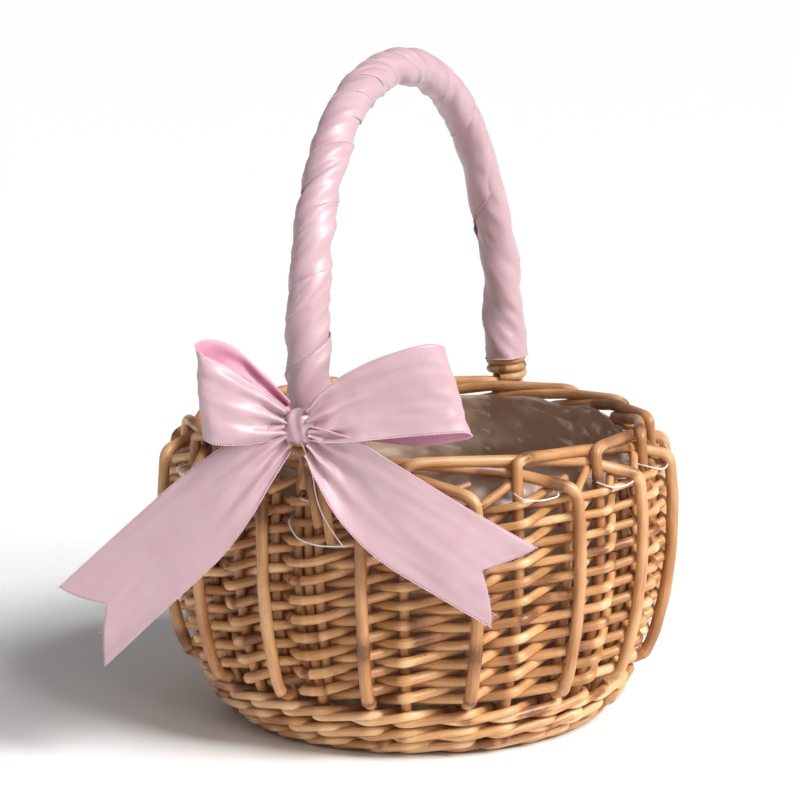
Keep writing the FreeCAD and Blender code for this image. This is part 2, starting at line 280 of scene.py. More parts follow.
@dataclass(frozen=True)
class WillowFinish:
    """Peeled willow: streaks along the rod, blotches, dark specks and scars at the knots.

    streak, blotch and speck say how fine each pattern is, per metre, along the rod and across.
    """

    name: str
    pale: tuple = (0.84, 0.53, 0.275)
    middle: tuple = (0.57, 0.28, 0.105)
    dark: tuple = (0.23, 0.085, 0.028)
    roughness: float = 0.42
    streak: tuple = (55.0, 1500.0, 1500.0)
    blotch: tuple = (38.0, 110.0, 110.0)
    speck: tuple = (420.0, 900.0, 900.0)
    streak_depth: float = 0.55
    blotch_depth: float = 1.0
    speck_level: float = 0.735
    speck_depth: float = 0.45
    coat: float = 0.2
    coat_roughness: float = 0.3
    relief: float = 0.25 * MM

    def build(self) -> bpy.types.Material:
        """Builds the material on the attributes grain, tone and scar.

        Returns:
            The material.
        """
        finish = Finish(self.name)
        grain = finish.attribute("grain", "Vector")
        streaks = finish.noise(grain, self.streak, 5.0)
        blotches = finish.noise(grain, self.blotch, 3.0)
        specks = finish.noise(grain, self.speck, 2.0)
        # tone: the rod's own random tone, plus a painted highlight at sharp bends
        value = finish.attribute("tone", "Fac")
        for pattern, depth in ((streaks, self.streak_depth), (blotches, self.blotch_depth)):
            value = finish.math("MULTIPLY_ADD", finish.minus(pattern, 0.5), depth, value)
        speck = finish.times(finish.math("GREATER_THAN", specks, self.speck_level), self.speck_depth)
        mottled = finish.math("MULTIPLY_ADD", specks, 1.1, 0.1)
        scarred = finish.times(finish.attribute("scar", "Fac"), mottled)
        value = finish.minus(value, finish.math("MAXIMUM", speck, scarred))
        stops = ((0.0, self.dark), (0.45, self.middle), (0.78, self.pale), (1.0, self.pale))
        finish.settings({
            "Base Color": finish.ramp(value, stops),
            "Roughness": self.roughness,
            "Coat Weight": self.coat,
            "Coat Roughness": self.coat_roughness,
        })
        finish.bump(streaks, 0.35, self.relief)
        return finish.material


@dataclass(frozen=True)
class PlainFinish:
    """A finish of one colour, for threads, cut ends and the floor."""

    name: str
    colour: tuple
    roughness: float = 0.5
    sheen: float = 0.0

    def build(self) -> bpy.types.Material:
        """Builds the material from constants.

        Returns:
            The material.
        """
        finish = Finish(self.name)
        finish.settings({
            "Base Color": (*self.colour, 1.0),
            "Roughness": self.roughness,
            "Sheen Weight": self.sheen,
        })
        return finish.material


@dataclass(frozen=True)
class SatinFinish:
    """Woven satin: a soft streaked highlight and a fine weave along its UV map.

    weave and shading say how fine each pattern is, per metre, along the ribbon and across.
    """

    name: str
    colour: tuple = (0.56, 0.385, 0.415)
    roughness: float = 0.43
    sheen: float = 0.25
    weave: tuple = (500.0, 7000.0, 1.0)
    shading: tuple = (60.0, 60.0, 1.0)
    deeper: tuple = (0.93, 0.82, 0.86)
    relief: float = 0.1 * MM

    def build(self) -> bpy.types.Material:
        """Builds the material on the piece's UV map, whose unit is a metre.

        Returns:
            The material.
        """
        finish = Finish(self.name)
        cloth = finish.add("ShaderNodeUVMap", uv_map="cloth").outputs[0]
        threads = finish.noise(cloth, self.weave, 2.0)
        soft = finish.noise(cloth, self.shading, 3.0)
        shade = finish.math("MULTIPLY_ADD", soft, 0.5, finish.times(threads, 0.35))
        deep = tuple(part * share for part, share in zip(self.colour, self.deeper))
        finish.settings({
            "Base Color": finish.ramp(shade, ((0.25, deep), (0.6, self.colour))),
            "Roughness": self.roughness,
            "Sheen Weight": self.sheen,
            "Sheen Roughness": 0.4,
            "Anisotropic": 0.6,
            "Specular IOR Level": 0.75,
        })
        finish.bump(threads, 0.12, self.relief)
        return finish.material


@dataclass(frozen=True)
class FilmFinish:
    """Thin clear film with a milky, crinkled surface; its brownish colour is painted shade, the shaded inside
    of the bowl and the weave seen through the film.
    """

    name: str
    # painted shade: brown for the dim inside of the bowl seen through the film
    colour: tuple = (0.47, 0.33, 0.25)
    alpha: float = 0.76
    crinkle: tuple = (55.0, 55.0, 55.0)
    relief: float = 3.0 * MM

    def build(self) -> bpy.types.Material:
        """Builds the material on the piece's own coordinates.

        Returns:
            The material.
        """
        finish = Finish(self.name)
        place = finish.add("ShaderNodeTexCoord").outputs["Object"]
        finish.settings({
            "Base Color": (*self.colour, 1.0),
            "Roughness": 0.3,
            "Alpha": self.alpha,
            "Specular IOR Level": 0.8,
        })
        finish.bump(finish.noise(place, self.crinkle, 3.0), 0.5, self.relief)
        return finish.material


class Finishes:
    """Every material of the object, built once."""

    def __init__(self) -> None:
        """Builds the materials."""
        self.willow = WillowFinish("buff willow").build()
        self.stake = WillowFinish(
            "stake willow", (0.70, 0.40, 0.19), (0.46, 0.205, 0.072), (0.19, 0.07, 0.022)
        ).build()
        self.cut = PlainFinish("cut willow", (0.55, 0.37, 0.20), 0.8).build()
        self.cane = WillowFinish(
            "split cane", (0.60, 0.38, 0.18), (0.42, 0.22, 0.085), (0.20, 0.085, 0.03), 0.5
        ).build()
        self.satin = SatinFinish("pale pink satin").build()
        # the matte wrong side of the satin; its deeper pink is a painted glow of light shining through the
        # thin ribbon
        self.satin_back_painted_glow = SatinFinish("satin reverse", (0.66, 0.30, 0.40), 0.55, 0.1).build()
        self.edge = PlainFinish("ribbon edge", (0.70, 0.50, 0.56), 0.6, 0.2).build()
        self.film = FilmFinish("clear film").build()
        self.thread = PlainFinish("white thread", (0.85, 0.84, 0.80), 0.55, 0.2).build()


# ---- the shape everything follows ---------------------------------------------------------
@dataclass(frozen=True)
class Wall:
    """The round wall: a profile of two arcs, and stakes that stand a little unevenly.

    A half bay is the step from a main stake to the bypass stake beside it, counted from -Y
    towards +X; the even ones are main stakes.
    """

    belly_radius: float
    rim_height: float
    belly_height: float = 88 * MM
    lower_curve: float = 170 * MM
    upper_curve: float = 265 * MM
    foot_tuck: float = 9 * MM
    foot_height: float = 14 * MM
    stakes: int = 32
    drift: tuple = (
        -0.10, 0.0, -0.11, 0.08, 0.06, 0.14, 0.10, 0.05, 0.11, -0.04, 0.05, -0.03, 0.04, 0.02, -0.03, 0.03,
        0.0, -0.04, 0.03, 0.05, -0.02, 0.04, -0.05, 0.02, 0.03, -0.03, 0.05, 0.0, -0.04, 0.03, -0.02, 0.0,
    )

    def radius(self, height: float) -> float:
        """The radius of the wall.

        Args:
            height: the height to measure at.

        Returns:
            The radius of the line of the stakes there.
        """
        curve = self.lower_curve if height < self.belly_height else self.upper_curve
        tuck = self.foot_tuck * max(0.0, 1 - height / self.foot_height) ** 2
        return self.belly_radius - tuck - curve + math.sqrt(curve ** 2 - (height - self.belly_height) ** 2)

    def at(self, bay: float, stand_off: float, height: float) -> Vector:
        """A point at the wall.

        Args:
            bay: the place round it, in bays.
            stand_off: the distance outside the line of the stakes.
            height: the height.

        Returns:
            The point.
        """
        radius = self.radius(height) + stand_off
        angle = bay * 4 * math.pi / self.stakes
        return Vector((radius * math.sin(angle), -radius * math.cos(angle), height))

    def bay(self, half_bay: float) -> float:
        """The place of a stake, or of a point between two, with the unevenness of the stakes.

        Args:
            half_bay: the number of the stake, counted in half bays.

        Returns:
            The place in bays.
        """
        low = math.floor(half_bay)
        share = half_bay - low
        before, after = self.drift[low % self.stakes], self.drift[(low + 1) % self.stakes]
        return half_bay / 2 + before * (1 - share) + after * share

    def stake(self, half_bay: float, stand_off: float, height: float, aside: float = 0.0) -> Vector:
        """A point at a stake; aside is in bays, towards the next stake."""
        return self.at(self.bay(half_bay) + aside, stand_off, height)


@dataclass(frozen=True)
class Arch:
    """The line of the handle: two short upright legs and a squarish arch, leaning to one side."""

    half_span: float = 109.2 * MM
    foot: float = 141.5 * MM
    spring: float = 150 * MM
    rise: float = 135.4 * MM
    squareness: float = 2.2
    lean_from: float = 130 * MM
    lean: float = math.radians(3.6)

    @property
    def aside(self) -> Vector:
        """Unit vector across the arch's plane."""
        return Vector((math.cos(self.lean), 0.0, math.sin(self.lean)))

    def leaned(self, across: float, along: float, height: float) -> Vector:
        """A point of the handle, which leans from the height of the rim."""
        over = max(0.0, height - self.lean_from)
        return Vector((across - over * math.tan(self.lean), along, height))

    def line(self, out: float = 0.0, across: float = 0.0, steps: int = 72) -> list[Vector]:
        """Points from the front spring over the top to the back one.

        Args:
            out: distance outside the centre line, in the arch's plane.
            across: distance from that plane.
            steps: spans of the arch.

        Returns:
            The points.
        """
        points = []
        power = 2 / self.squareness
        for step in range(steps + 1):
            angle = math.pi * step / steps
            share = math.copysign(abs(math.cos(angle)) ** power, -math.cos(angle))
            height = self.spring + (self.rise + out) * abs(math.sin(angle)) ** power
            points.append(self.leaned(across, (self.half_span + out) * share, height))
        return points


# ---- rods ---------------------------------------------------------------------------------
@dataclass(frozen=True)
class Rod:
    """A willow rod along straight runs and soft bends.

    corners are the points between the runs; start and end are its radii; tone is from 0,
    dark, to 1, pale; bend is the share of each run that belongs to the bend beside it.
    """

    corners: Sequence[Vector]
    start: float
    end: float
    tone: float = 0.5
    bend: float = 0.28
    step: float = 5 * MM

    SOFT_TURN = 0.35
    SHARPEST_BEND = 1.2

    def line(self) -> tuple[list[Vector], list[float]]:
        """Follows the rod over its runs and parabolic bends.

        Returns:
            Points along the rod, and how sharply it is bent at each.
        """
        points, bend_sharpness = [self.corners[0].copy()], [0.0]
        for before, corner, after in zip(self.corners, self.corners[1:], self.corners[2:]):
            enter, leave = corner.lerp(before, self.bend), corner.lerp(after, self.bend)
            self._run(points, enter)
            bend_sharpness += [0.0] * (len(points) - len(bend_sharpness))
            turn = (enter - corner).angle(corner - leave, 0.0)
            spans = 3 if turn < self.SOFT_TURN else 6
            for span in range(1, spans + 1):
                share = span / spans
                points.append(enter.lerp(corner, share).lerp(corner.lerp(leave, share), share))
                # how sharply the rod bends here: it swells the rod and makes it paler, a painted highlight
                bend_sharpness.append(min(turn, self.SHARPEST_BEND) * math.sin(math.pi * share))
        self._run(points, self.corners[-1])
        bend_sharpness += [0.0] * (len(points) - len(bend_sharpness))
        return points, bend_sharpness

    def _run(self, points: list[Vector], target: Vector) -> None:
        """Adds a straight run.

        Args:
            points: the line so far, which is added to.
            target: where the run ends.
        """
        start = points[-1]
        spans = max(1, round((target - start).length / self.step))
        points.extend(start.lerp(target, span / spans) for span in range(1, spans + 1))


# ---- meshes -------------------------------------------------------------------------------
def linked(name: str, data: bpy.types.ID) -> bpy.types.Object:
    """Puts a mesh or curve into the scene.

    Args:
        name: the name of the object and of its data.
        data: the mesh or curve.

    Returns:
        The new object.
    """
    data.name = name
    piece = bpy.data.objects.new(name, data)
    bpy.context.scene.collection.objects.link(piece)
    return piece


def polylines(lines: Iterable[Sequence[Vector]], **columns: Sequence[float]) -> bpy.types.Mesh:
    """Makes a mesh of loose lines.

    Args:
        lines: the points of each line.
        **columns: named numbers, one for each point of all lines.

    Returns:
        The mesh.
    """
    points, edges = [], []
    for line in lines:
        edges += [(len(points) + index, len(points) + index + 1) for index in range(len(line) - 1)]
        points += line
    mesh = bpy.data.meshes.new("lines")
    mesh.from_pydata(points, edges, [])
    for label, values in columns.items():
        mesh.attributes.new(label, "FLOAT", "POINT").data.foreach_set("value", values)
    return mesh


def grid_faces(rows: int, columns: int, closed: bool = False) -> list[tuple]:
    """Makes the faces of a grid of points.

    Args:
        rows: rows of points.
        columns: points in a row.
        closed: whether the last column joins the first.

    Returns:
        The faces, row by row.
    """
    faces = []
    for low in range(0, (rows - 1) * columns, columns):
        high = low + columns
        for column in range(columns if closed else columns - 1):
            after = (column + 1) % columns
            faces.append((low + column, low + after, high + after, high + column))
    return faces


def surface(
    points: Sequence[Vector], faces: Sequence[tuple], *materials: bpy.types.Material
) -> bpy.types.Mesh:
    """Makes a smooth mesh.

    Args:
        points: its points.
        faces: its faces.
        *materials: its materials.

    Returns:
        The mesh.
    """
    mesh = bpy.data.meshes.new("surface")
    mesh.from_pydata(points, [], faces)
    for material in materials:
        mesh.materials.append(material)
    mesh.polygons.foreach_set("use_smooth", [True] * len(mesh.polygons))
    return mesh


def lay_flat(mesh: bpy.types.Mesh, places: Sequence[tuple[float, float]]) -> None:
    """Writes the UV map that the satin finish reads.

    Args:
        mesh: a cloth mesh.
        places: each vertex's place on the flat cloth, in metres.
    """
    layer = mesh.uv_layers.new(name="cloth")
    for loop in mesh.loops:
        layer.data[loop.index].uv = places[loop.vertex_index]


def thicken(piece: bpy.types.Object, thickness: float, back: int = 0) -> None:
    """Gives a sheet its thickness, behind its right side.

    Args:
        piece: the sheet.
        thickness: its thickness.
        back: how many material slots further the wrong side's material is.
    """
    skin = piece.modifiers.new("thickness", "SOLIDIFY")
    skin.thickness = thickness
    skin.offset = -1.0
    skin.material_offset = back


def belongs(piece: bpy.types.Object, slot: Slot, *nodes: str) -> bpy.types.Object:
    """Ties a piece to the object's body and hides the nodes that it stands for.

    Args:
        piece: the piece.
        slot: its material slot; not used.
        *nodes: the nodes that it replaces.

    Returns:
        The piece.
    """
    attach(piece, BODY)
    if nodes:
        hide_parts(*nodes)
    return piece


class Cane:
    """Sweeps rods into one mesh piece with the attributes that the willow finish reads.

    A rod swells by shares of its radius at knots, at bends and a little everywhere, and it is
    paler at bends: a painted highlight where the elbows catch the light.
    """

    WANDER_SCALE = 28.0
    KNOT_SWELL = 0.09
    BEND_SWELL = 0.05
    UNEVEN_SWELL = 0.07
    BEND_PAINTED_HIGHLIGHT = 0.16
    POINTS_PER_KNOT = 26
    KNOT_REACH = 1.3

    def __init__(self, cut: bpy.types.Material) -> None:
        """Builds the tree that sweeps a round section along lines.

        Args:
            cut: the material of cut ends.
        """
        self.cut = cut
        tree = GeometryTree("willow rods", ("Wander", "Wander scale", "Seed", "Flatten"), ("Sides",))
        given = tree.given
        place = tree.add("GeometryNodeInputPosition")
        cloud = tree.add(
            "ShaderNodeTexNoise",
            {"Vector": place, "W": given["Seed"], "Scale": given["Wander scale"], "Detail": 2.0},
            noise_dimensions="4D",
        )
        shift = tree.scaled(tree.vector("SUBTRACT", cloud.outputs["Color"], (0.5, 0.5, 0.5)), given["Wander"])
        moved = tree.add("GeometryNodeSetPosition", {"Geometry": tree.curve(), "Offset": shift})
        spline = tree.add("GeometryNodeSplineParameter")
        along = tree.captured(moved, "FLOAT", spline.outputs["Length"])
        circle = tree.add("GeometryNodeCurvePrimitiveCircle", {"Resolution": given["Sides"], "Radius": 1.0})
        ring = tree.captured(circle.outputs["Curve"], "VECTOR", place)
        flat = tree.add("ShaderNodeCombineXYZ", {0: given["Flatten"], 1: 1.0, 2: 1.0})
        oval = tree.vector("MULTIPLY", place, flat)
        profile = tree.add("GeometryNodeSetPosition", {"Geometry": ring.outputs[0], "Position": oval})
        radius = tree.named("rod_radius")
        swept = tree.add("GeometryNodeCurveToMesh", {
            "Curve": along.outputs[0], "Profile Curve": profile, "Scale": radius, "Fill Caps": True,
        })
        split = tree.add("ShaderNodeSeparateXYZ", {0: tree.scaled(ring.outputs[1], radius)})
        length = tree.plus(along.outputs[1], tree.named("start_at"))
        grain = tree.add("ShaderNodeCombineXYZ", {0: length, 1: split.outputs[0], 2: split.outputs[1]})
        stored = {"Geometry": swept, "Name": "grain", "Value": grain}
        tree.end(tree.add("GeometryNodeStoreNamedAttribute", stored, data_type="FLOAT_VECTOR"))
        self.tree = tree

    def sweep(
        self,
        name: str,
        rods: Iterable[Rod],
        finish: bpy.types.Material,
        seed: int,
        sides: int = 10,
        wander: float = 0.9 * MM,
        flatten: float = 1.0,
        cut: bool = True,
    ) -> bpy.types.Object:
        """Makes one piece of several rods.

        Args:
            name: the piece's name.
            rods: what it holds.
            finish: its material.
            seed: seeds the unevenness.
            sides: faces round a rod.
            wander: how far the line strays.
            flatten: width of the section across, as a share of its depth.
            cut: whether the ends show cut willow.

        Returns:
            The linked object.
        """
        plain = self.tree.run(self._lines(rods, random.Random(seed)), {
            "Sides": sides, "Wander": wander, "Wander scale": self.WANDER_SCALE,
            "Seed": float(seed), "Flatten": flatten, "Material": finish,
        })
        plain.materials.append(self.cut if cut else finish)
        for polygon in plain.polygons:
            if polygon.loop_total > 4:
                polygon.material_index = 1
                polygon.use_smooth = False
        return linked(name, plain)

    def _lines(self, rods: Iterable[Rod], chance: random.Random) -> bpy.types.Mesh:
        """Makes the lines that are swept.

        Args:
            rods: the rods.
            chance: draws their knots and swellings.

        Returns:
            Lines with a radius, tone, scar and start length at each point.
        """
        lines, radii, tones, scars, starts = [], [], [], [], []
        for rod in rods:
            line, bend_sharpness = rod.line()
            lines.append(line)
            knots = [chance.random() for _ in range(max(1, len(line) // self.POINTS_PER_KNOT))]
            start_at = chance.uniform(0, 9)
            swell = chance.uniform(0, 50)
            for index, bent in enumerate(bend_sharpness):
                share = index / (len(line) - 1)
                away = min(abs(share - knot) for knot in knots)
                scar = math.exp(-(away * len(line) / self.KNOT_REACH) ** 2)
                uneven = self.UNEVEN_SWELL * noise.noise(Vector((swell, share * len(line) / 9, 0.0)))
                radius = rod.start + (rod.end - rod.start) * share
                radii.append(radius * (1 + self.KNOT_SWELL * scar + uneven + self.BEND_SWELL * bent))
                # painted highlight: the tone is made paler at sharp bends, where the elbows catch the light
                tones.append(rod.tone + self.BEND_PAINTED_HIGHLIGHT * bent)
                scars.append(scar)
                starts.append(start_at)
        return polylines(lines, rod_radius=radii, tone=tones, scar=scars, start_at=starts)


@dataclass
class Workshop:
    """What every part of the basket is made with."""

    wall: Wall
    arch: Arch
    finishes: Finishes
    cane: Cane
    beads: "Beads"

    def woven(
        self, name: str, node: str, slot: Slot, rods: Iterable[Rod], finish: bpy.types.Material, **how: float
    ) -> bpy.types.Object:
        """Sweeps rods into a piece and ties it to its node; how is passed on to Cane.sweep."""
        return belongs(self.cane.sweep(name, rods, finish, **how), slot, node)


# ---- the basket ---------------------------------------------------------------------------
@dataclass
class Base:
    """Two crossed layers of sticks that fan out, with rounds of pairing."""

    shop: Workshop
    stick: float = 2.2 * MM
    height: float = 8.6 * MM
    cross: float = 17 * MM
    edge: float = 6.8 * MM
    rounds: int = 12
    first_radius: float = 25 * MM
    pitch: float = 4 * MM
    swing: float = 4.4 * MM
    rod: float = 1.5 * MM
    ends: int = 16

    def build(self) -> None:
        """Makes the sticks and the weave."""
        shop, willow = self.shop, self.shop.finishes.willow
        for node, along_x, level in (("lower", True, -self.stick), ("upper", False, self.stick)):
            rods = [self._stick(place, along_x, self.height + level) for place in range(4)]
            name = "base_sticks_" + node
            shop.woven("woven_" + name, name, Slot.CORE, rods, willow, seed=31, sides=8, wander=0.4 * MM)
        rods = [self._round(index) for index in range(self.rounds)]
        shop.woven(
            "woven_base_rounds", "base_weave", Slot.CORE, rods, willow, seed=33, sides=8, wander=0.5 * MM
        )

    def _stick(self, place: int, along_x: bool, level: float) -> Rod:
        """One stick from edge to edge.

        Args:
            place: its place in its layer, from 0 to 3.
            along_x: whether it lies along X or along Y.
            level: its height at the centre.

        Returns:
            The stick.
        """
        side = (place - 1.5) * (2 * self.stick + 0.3 * MM)
        reach = self.shop.wall.radius(self.height) - self.edge
        fan = (place - 1.5) * 2 * math.pi / self.ends
        tip = (reach * math.cos(fan), reach * math.sin(fan), self.height)
        corners = [(-tip[0], *tip[1:]), (-self.cross, side, level), (self.cross, side, level), tip]
        if not along_x:
            corners = [(-y, x, z) for x, y, z in corners]
        return Rod([Vector(corner) for corner in corners], self.stick, self.stick, 0.5)

    def _round(self, index: int) -> Rod:
        """One round, over and under the stick ends.

        Args:
            index: its number, counted outwards.

        Returns:
            The rod.
        """
        radius = self.first_radius + index * self.pitch
        corners = []
        for end in range(self.ends + 1):
            rise = self.swing * (-1) ** (end + index)
            angle = (end + 0.5) * 2 * math.pi / self.ends
            corners.append(Vector((radius * math.sin(angle), -radius * math.cos(angle), self.height + rise)))
        corners[0] = corners[0].lerp(corners[1], 0.3)
        corners[-1] = corners[-1].lerp(corners[-2], 0.3)
        return Rod(corners, self.rod, self.rod, 0.3 + 0.4 * (index % 3) / 2)


@dataclass
class FootWale:
    """Rounds of three-rod wale, the foot of the basket."""

    shop: Workshop
    rounds: int = 3
    rod: float = 2.05 * MM
    swing: float = 5.2 * MM
    step: float = 3.95 * MM
    lowest: float = 2.1 * MM
    sway: float = 0.25

    def build(self) -> None:
        """Makes the rounds."""
        shop = self.shop
        chance = random.Random(5)
        for level in range(self.rounds):
            low = self.lowest + 2 * self.step * level
            rods = [self._rod(start, low, chance) for start in range(3)]
            shop.woven(
                f"woven_foot_{level + 1}", f"foot_wale_{level + 1}", Slot.WILLOW, rods,
                shop.finishes.willow, seed=40 + level, sides=12, wander=0.5 * MM,
            )

    def _rod(self, start: int, low: float, chance: random.Random) -> Rod:
        """A rod that passes outside two stakes, rising, and then inside one, falling.

        Args:
            start: the stake it starts at, from 0 to 2.
            low: its lowest height.
            chance: draws its unevenness.

        Returns:
            The rod.
        """
        wall = self.shop.wall
        corners = []
        for step in range(wall.stakes):
            half_bay = wall.stakes / 2 + start + step
            sway = chance.uniform(-self.sway, self.sway) * MM
            phase = step % 3
            if phase == 0:
                corners.append(wall.stake(half_bay, self.swing, low + sway, -0.05))
            elif phase == 1:
                corners.append(wall.stake(half_bay, self.swing, low + self.step + sway, 0.05))
            else:
                corners.append(wall.stake(half_bay, -self.swing, low + 0.85 * self.step, -0.12))
                corners.append(wall.stake(half_bay, -self.swing, low + 0.15 * self.step, 0.12))
        radius = self.rod * chance.uniform(0.95, 1.05)
        return Rod(corners, radius, radius * 0.93, chance.uniform(0.36, 0.62), 0.26)


@dataclass
class SideWeave:
    """French rand: a weaver starts at every stake and climbs in and out to the border.

    humps is how far, in millimetres, the weave is pushed up at each bypass stake.
    """

    shop: Workshop
    bottom: float = 26.5 * MM
    pitch: float = 4.15 * MM
    steps: int = 21
    swing: float = 5.5 * MM
    butt: float = 2.25 * MM
    tip: float = 1.8 * MM
    end_rise: float = 7.5 * MM
    sway: float = 0.4
    stray: float = 0.25
    leg_aside: float = 0.13
    humps: tuple = (
        2.0, -1.0, 0.5, 0.8, 1.0, 0.5, 1.0, 0.4, 0.8, 1.0, 0.5, 1.0, 0.8, 2.4, 3.4, 3.4,
    )

    def build(self) -> None:
        """Makes the weavers, two to a piece."""
        shop = self.shop
        for pair in range(shop.wall.stakes // 2):
            chance = random.Random(100 + pair)
            rods = [self._weaver(2 * pair + one, chance) for one in (0, 1)]
            number = f"{pair + 1:02d}"
            shop.woven(
                "woven_side_" + number, "side_weavers_" + number, Slot.WILLOW, rods,
                shop.finishes.willow, seed=60 + pair,
            )

    def _weaver(self, start: int, chance: random.Random) -> Rod:
        """One weaver from the wale to the border.

        Args:
            start: the half bay it starts at.
            chance: draws its unevenness.

        Returns:
            The weaver.
        """
        wall = self.shop.wall
        corners = []
        for step in range(self.steps + 1):
            half_bay = start + step
            height = self.bottom + self.pitch * step + chance.uniform(-self.sway, self.sway) * MM
            if half_bay % 2 and 0 < step:
                height += self.humps[half_bay % wall.stakes // 2] * MM
            side = -1 if step % 2 == 0 else 1
            stand_off = self.swing * side + chance.uniform(-self.stray, self.stray) * MM
            if half_bay % (wall.stakes // 2) == 0:
                slope = 2 * self.pitch * 0.12
                corners.append(wall.stake(half_bay, stand_off * 0.84, height - slope * 0.6, -self.leg_aside))
                corners.append(wall.stake(half_bay, stand_off * 1.02, height))
                corners.append(wall.stake(half_bay, stand_off * 0.84, height + slope, self.leg_aside))
            else:
                corners.append(wall.stake(half_bay, stand_off, height))
        end = start + self.steps + 1
        rise = self.end_rise * chance.uniform(0.7, 1.25)
        corners.append(wall.stake(end, -stand_off * 0.8, height + rise, chance.uniform(-0.05, 0.1)))
        size = chance.uniform(0.93, 1.07)
        return Rod(corners, self.butt * size, self.tip * size, chance.gauss(0.46, 0.12), 0.17)


@dataclass
class Stakes:
    """The stakes, which rise inside the weave, run round the rim and come down as ribs.

    Heights are in millimetres: those that all stakes pass, and those of each kind above them.
    """

    shop: Workshop
    stake: float = 2.15 * MM
    rib: float = 2.65 * MM
    rib_stand_off: float = 9.0 * MM
    bypass: float = 2.1 * MM
    heights: tuple = (5.5, 9, 14, 24, 36, 56, 78)
    stake_heights: tuple = (100, 117)
    bypass_heights: tuple = (98, 115)
    rib_heights: tuple = (100, 78, 56, 38)
    kink: float = 1.2
    lean: float = 0.02

    def build(self) -> None:
        """Makes the sixteen stakes and the bypass stakes between them."""
        shop, wall = self.shop, self.shop.wall
        for index in range(wall.stakes // 2):
            number = f"{index + 1:02d}"
            rods = [self._stake(index, random.Random(200 + index))]
            shop.woven(
                "stake_and_rib_" + number, "border_stake_" + number, Slot.STAKE, rods,
                shop.finishes.stake, seed=90 + index, sides=12, wander=0.8 * MM,
            )
        rods = [
            Rod(self._rise(half_bay, self.bypass_heights), self.bypass, self.bypass, 0.45)
            for half_bay in range(1, wall.stakes, 2)
        ]
        shop.woven(
            "bypass_stakes", "by_stakes", Slot.WILLOW, rods,
            shop.finishes.stake, seed=80, sides=8, wander=0.5 * MM,
        )

    def _rise(self, half_bay: int, last: tuple) -> list[Vector]:
        """The corners of a stake in the wall; last is the heights above those all stakes pass."""
        return [self.shop.wall.stake(half_bay, 0.0, height * MM) for height in self.heights + last]

    def _stake(self, index: int, chance: random.Random) -> Rod:
        """A stake up the wall, over the rim, behind the next two stakes and down outside.

        Args:
            index: its number, from 0.
            chance: draws its unevenness.

        Returns:
            The stake.
        """
        wall = self.shop.wall
        half_bay, rim, out = 2 * index, wall.rim_height, self.rib_stand_off
        kink = chance.uniform(-self.kink, self.kink) * MM
        corners = self._rise(half_bay, self.stake_heights) + [
            wall.stake(half_bay, 0.6 * MM, rim + 1.0 * MM),
            wall.stake(half_bay + 2, -4.4 * MM, rim - 0.4 * MM),
            wall.stake(half_bay + 3, -6.4 * MM, rim - 3.0 * MM),
            wall.stake(half_bay + 4, -5.6 * MM, rim - 5.6 * MM),
            wall.stake(half_bay + 5, out, 119 * MM + kink, -0.03),
        ]
        lean = chance.uniform(-self.lean, self.lean)
        for height in self.rib_heights:
            corners.append(wall.stake(half_bay + 5, out, height * MM, lean * (height - 60) / 40))
        corners.append(wall.stake(half_bay + 5, out - 0.8 * MM, 29.1 * MM, -lean))
        corners.append(wall.stake(half_bay + 5, 3.4 * MM, 26.6 * MM, -lean))
        return Rod(corners, self.stake, self.rib, chance.gauss(0.5, 0.1), 0.24, 4 * MM)


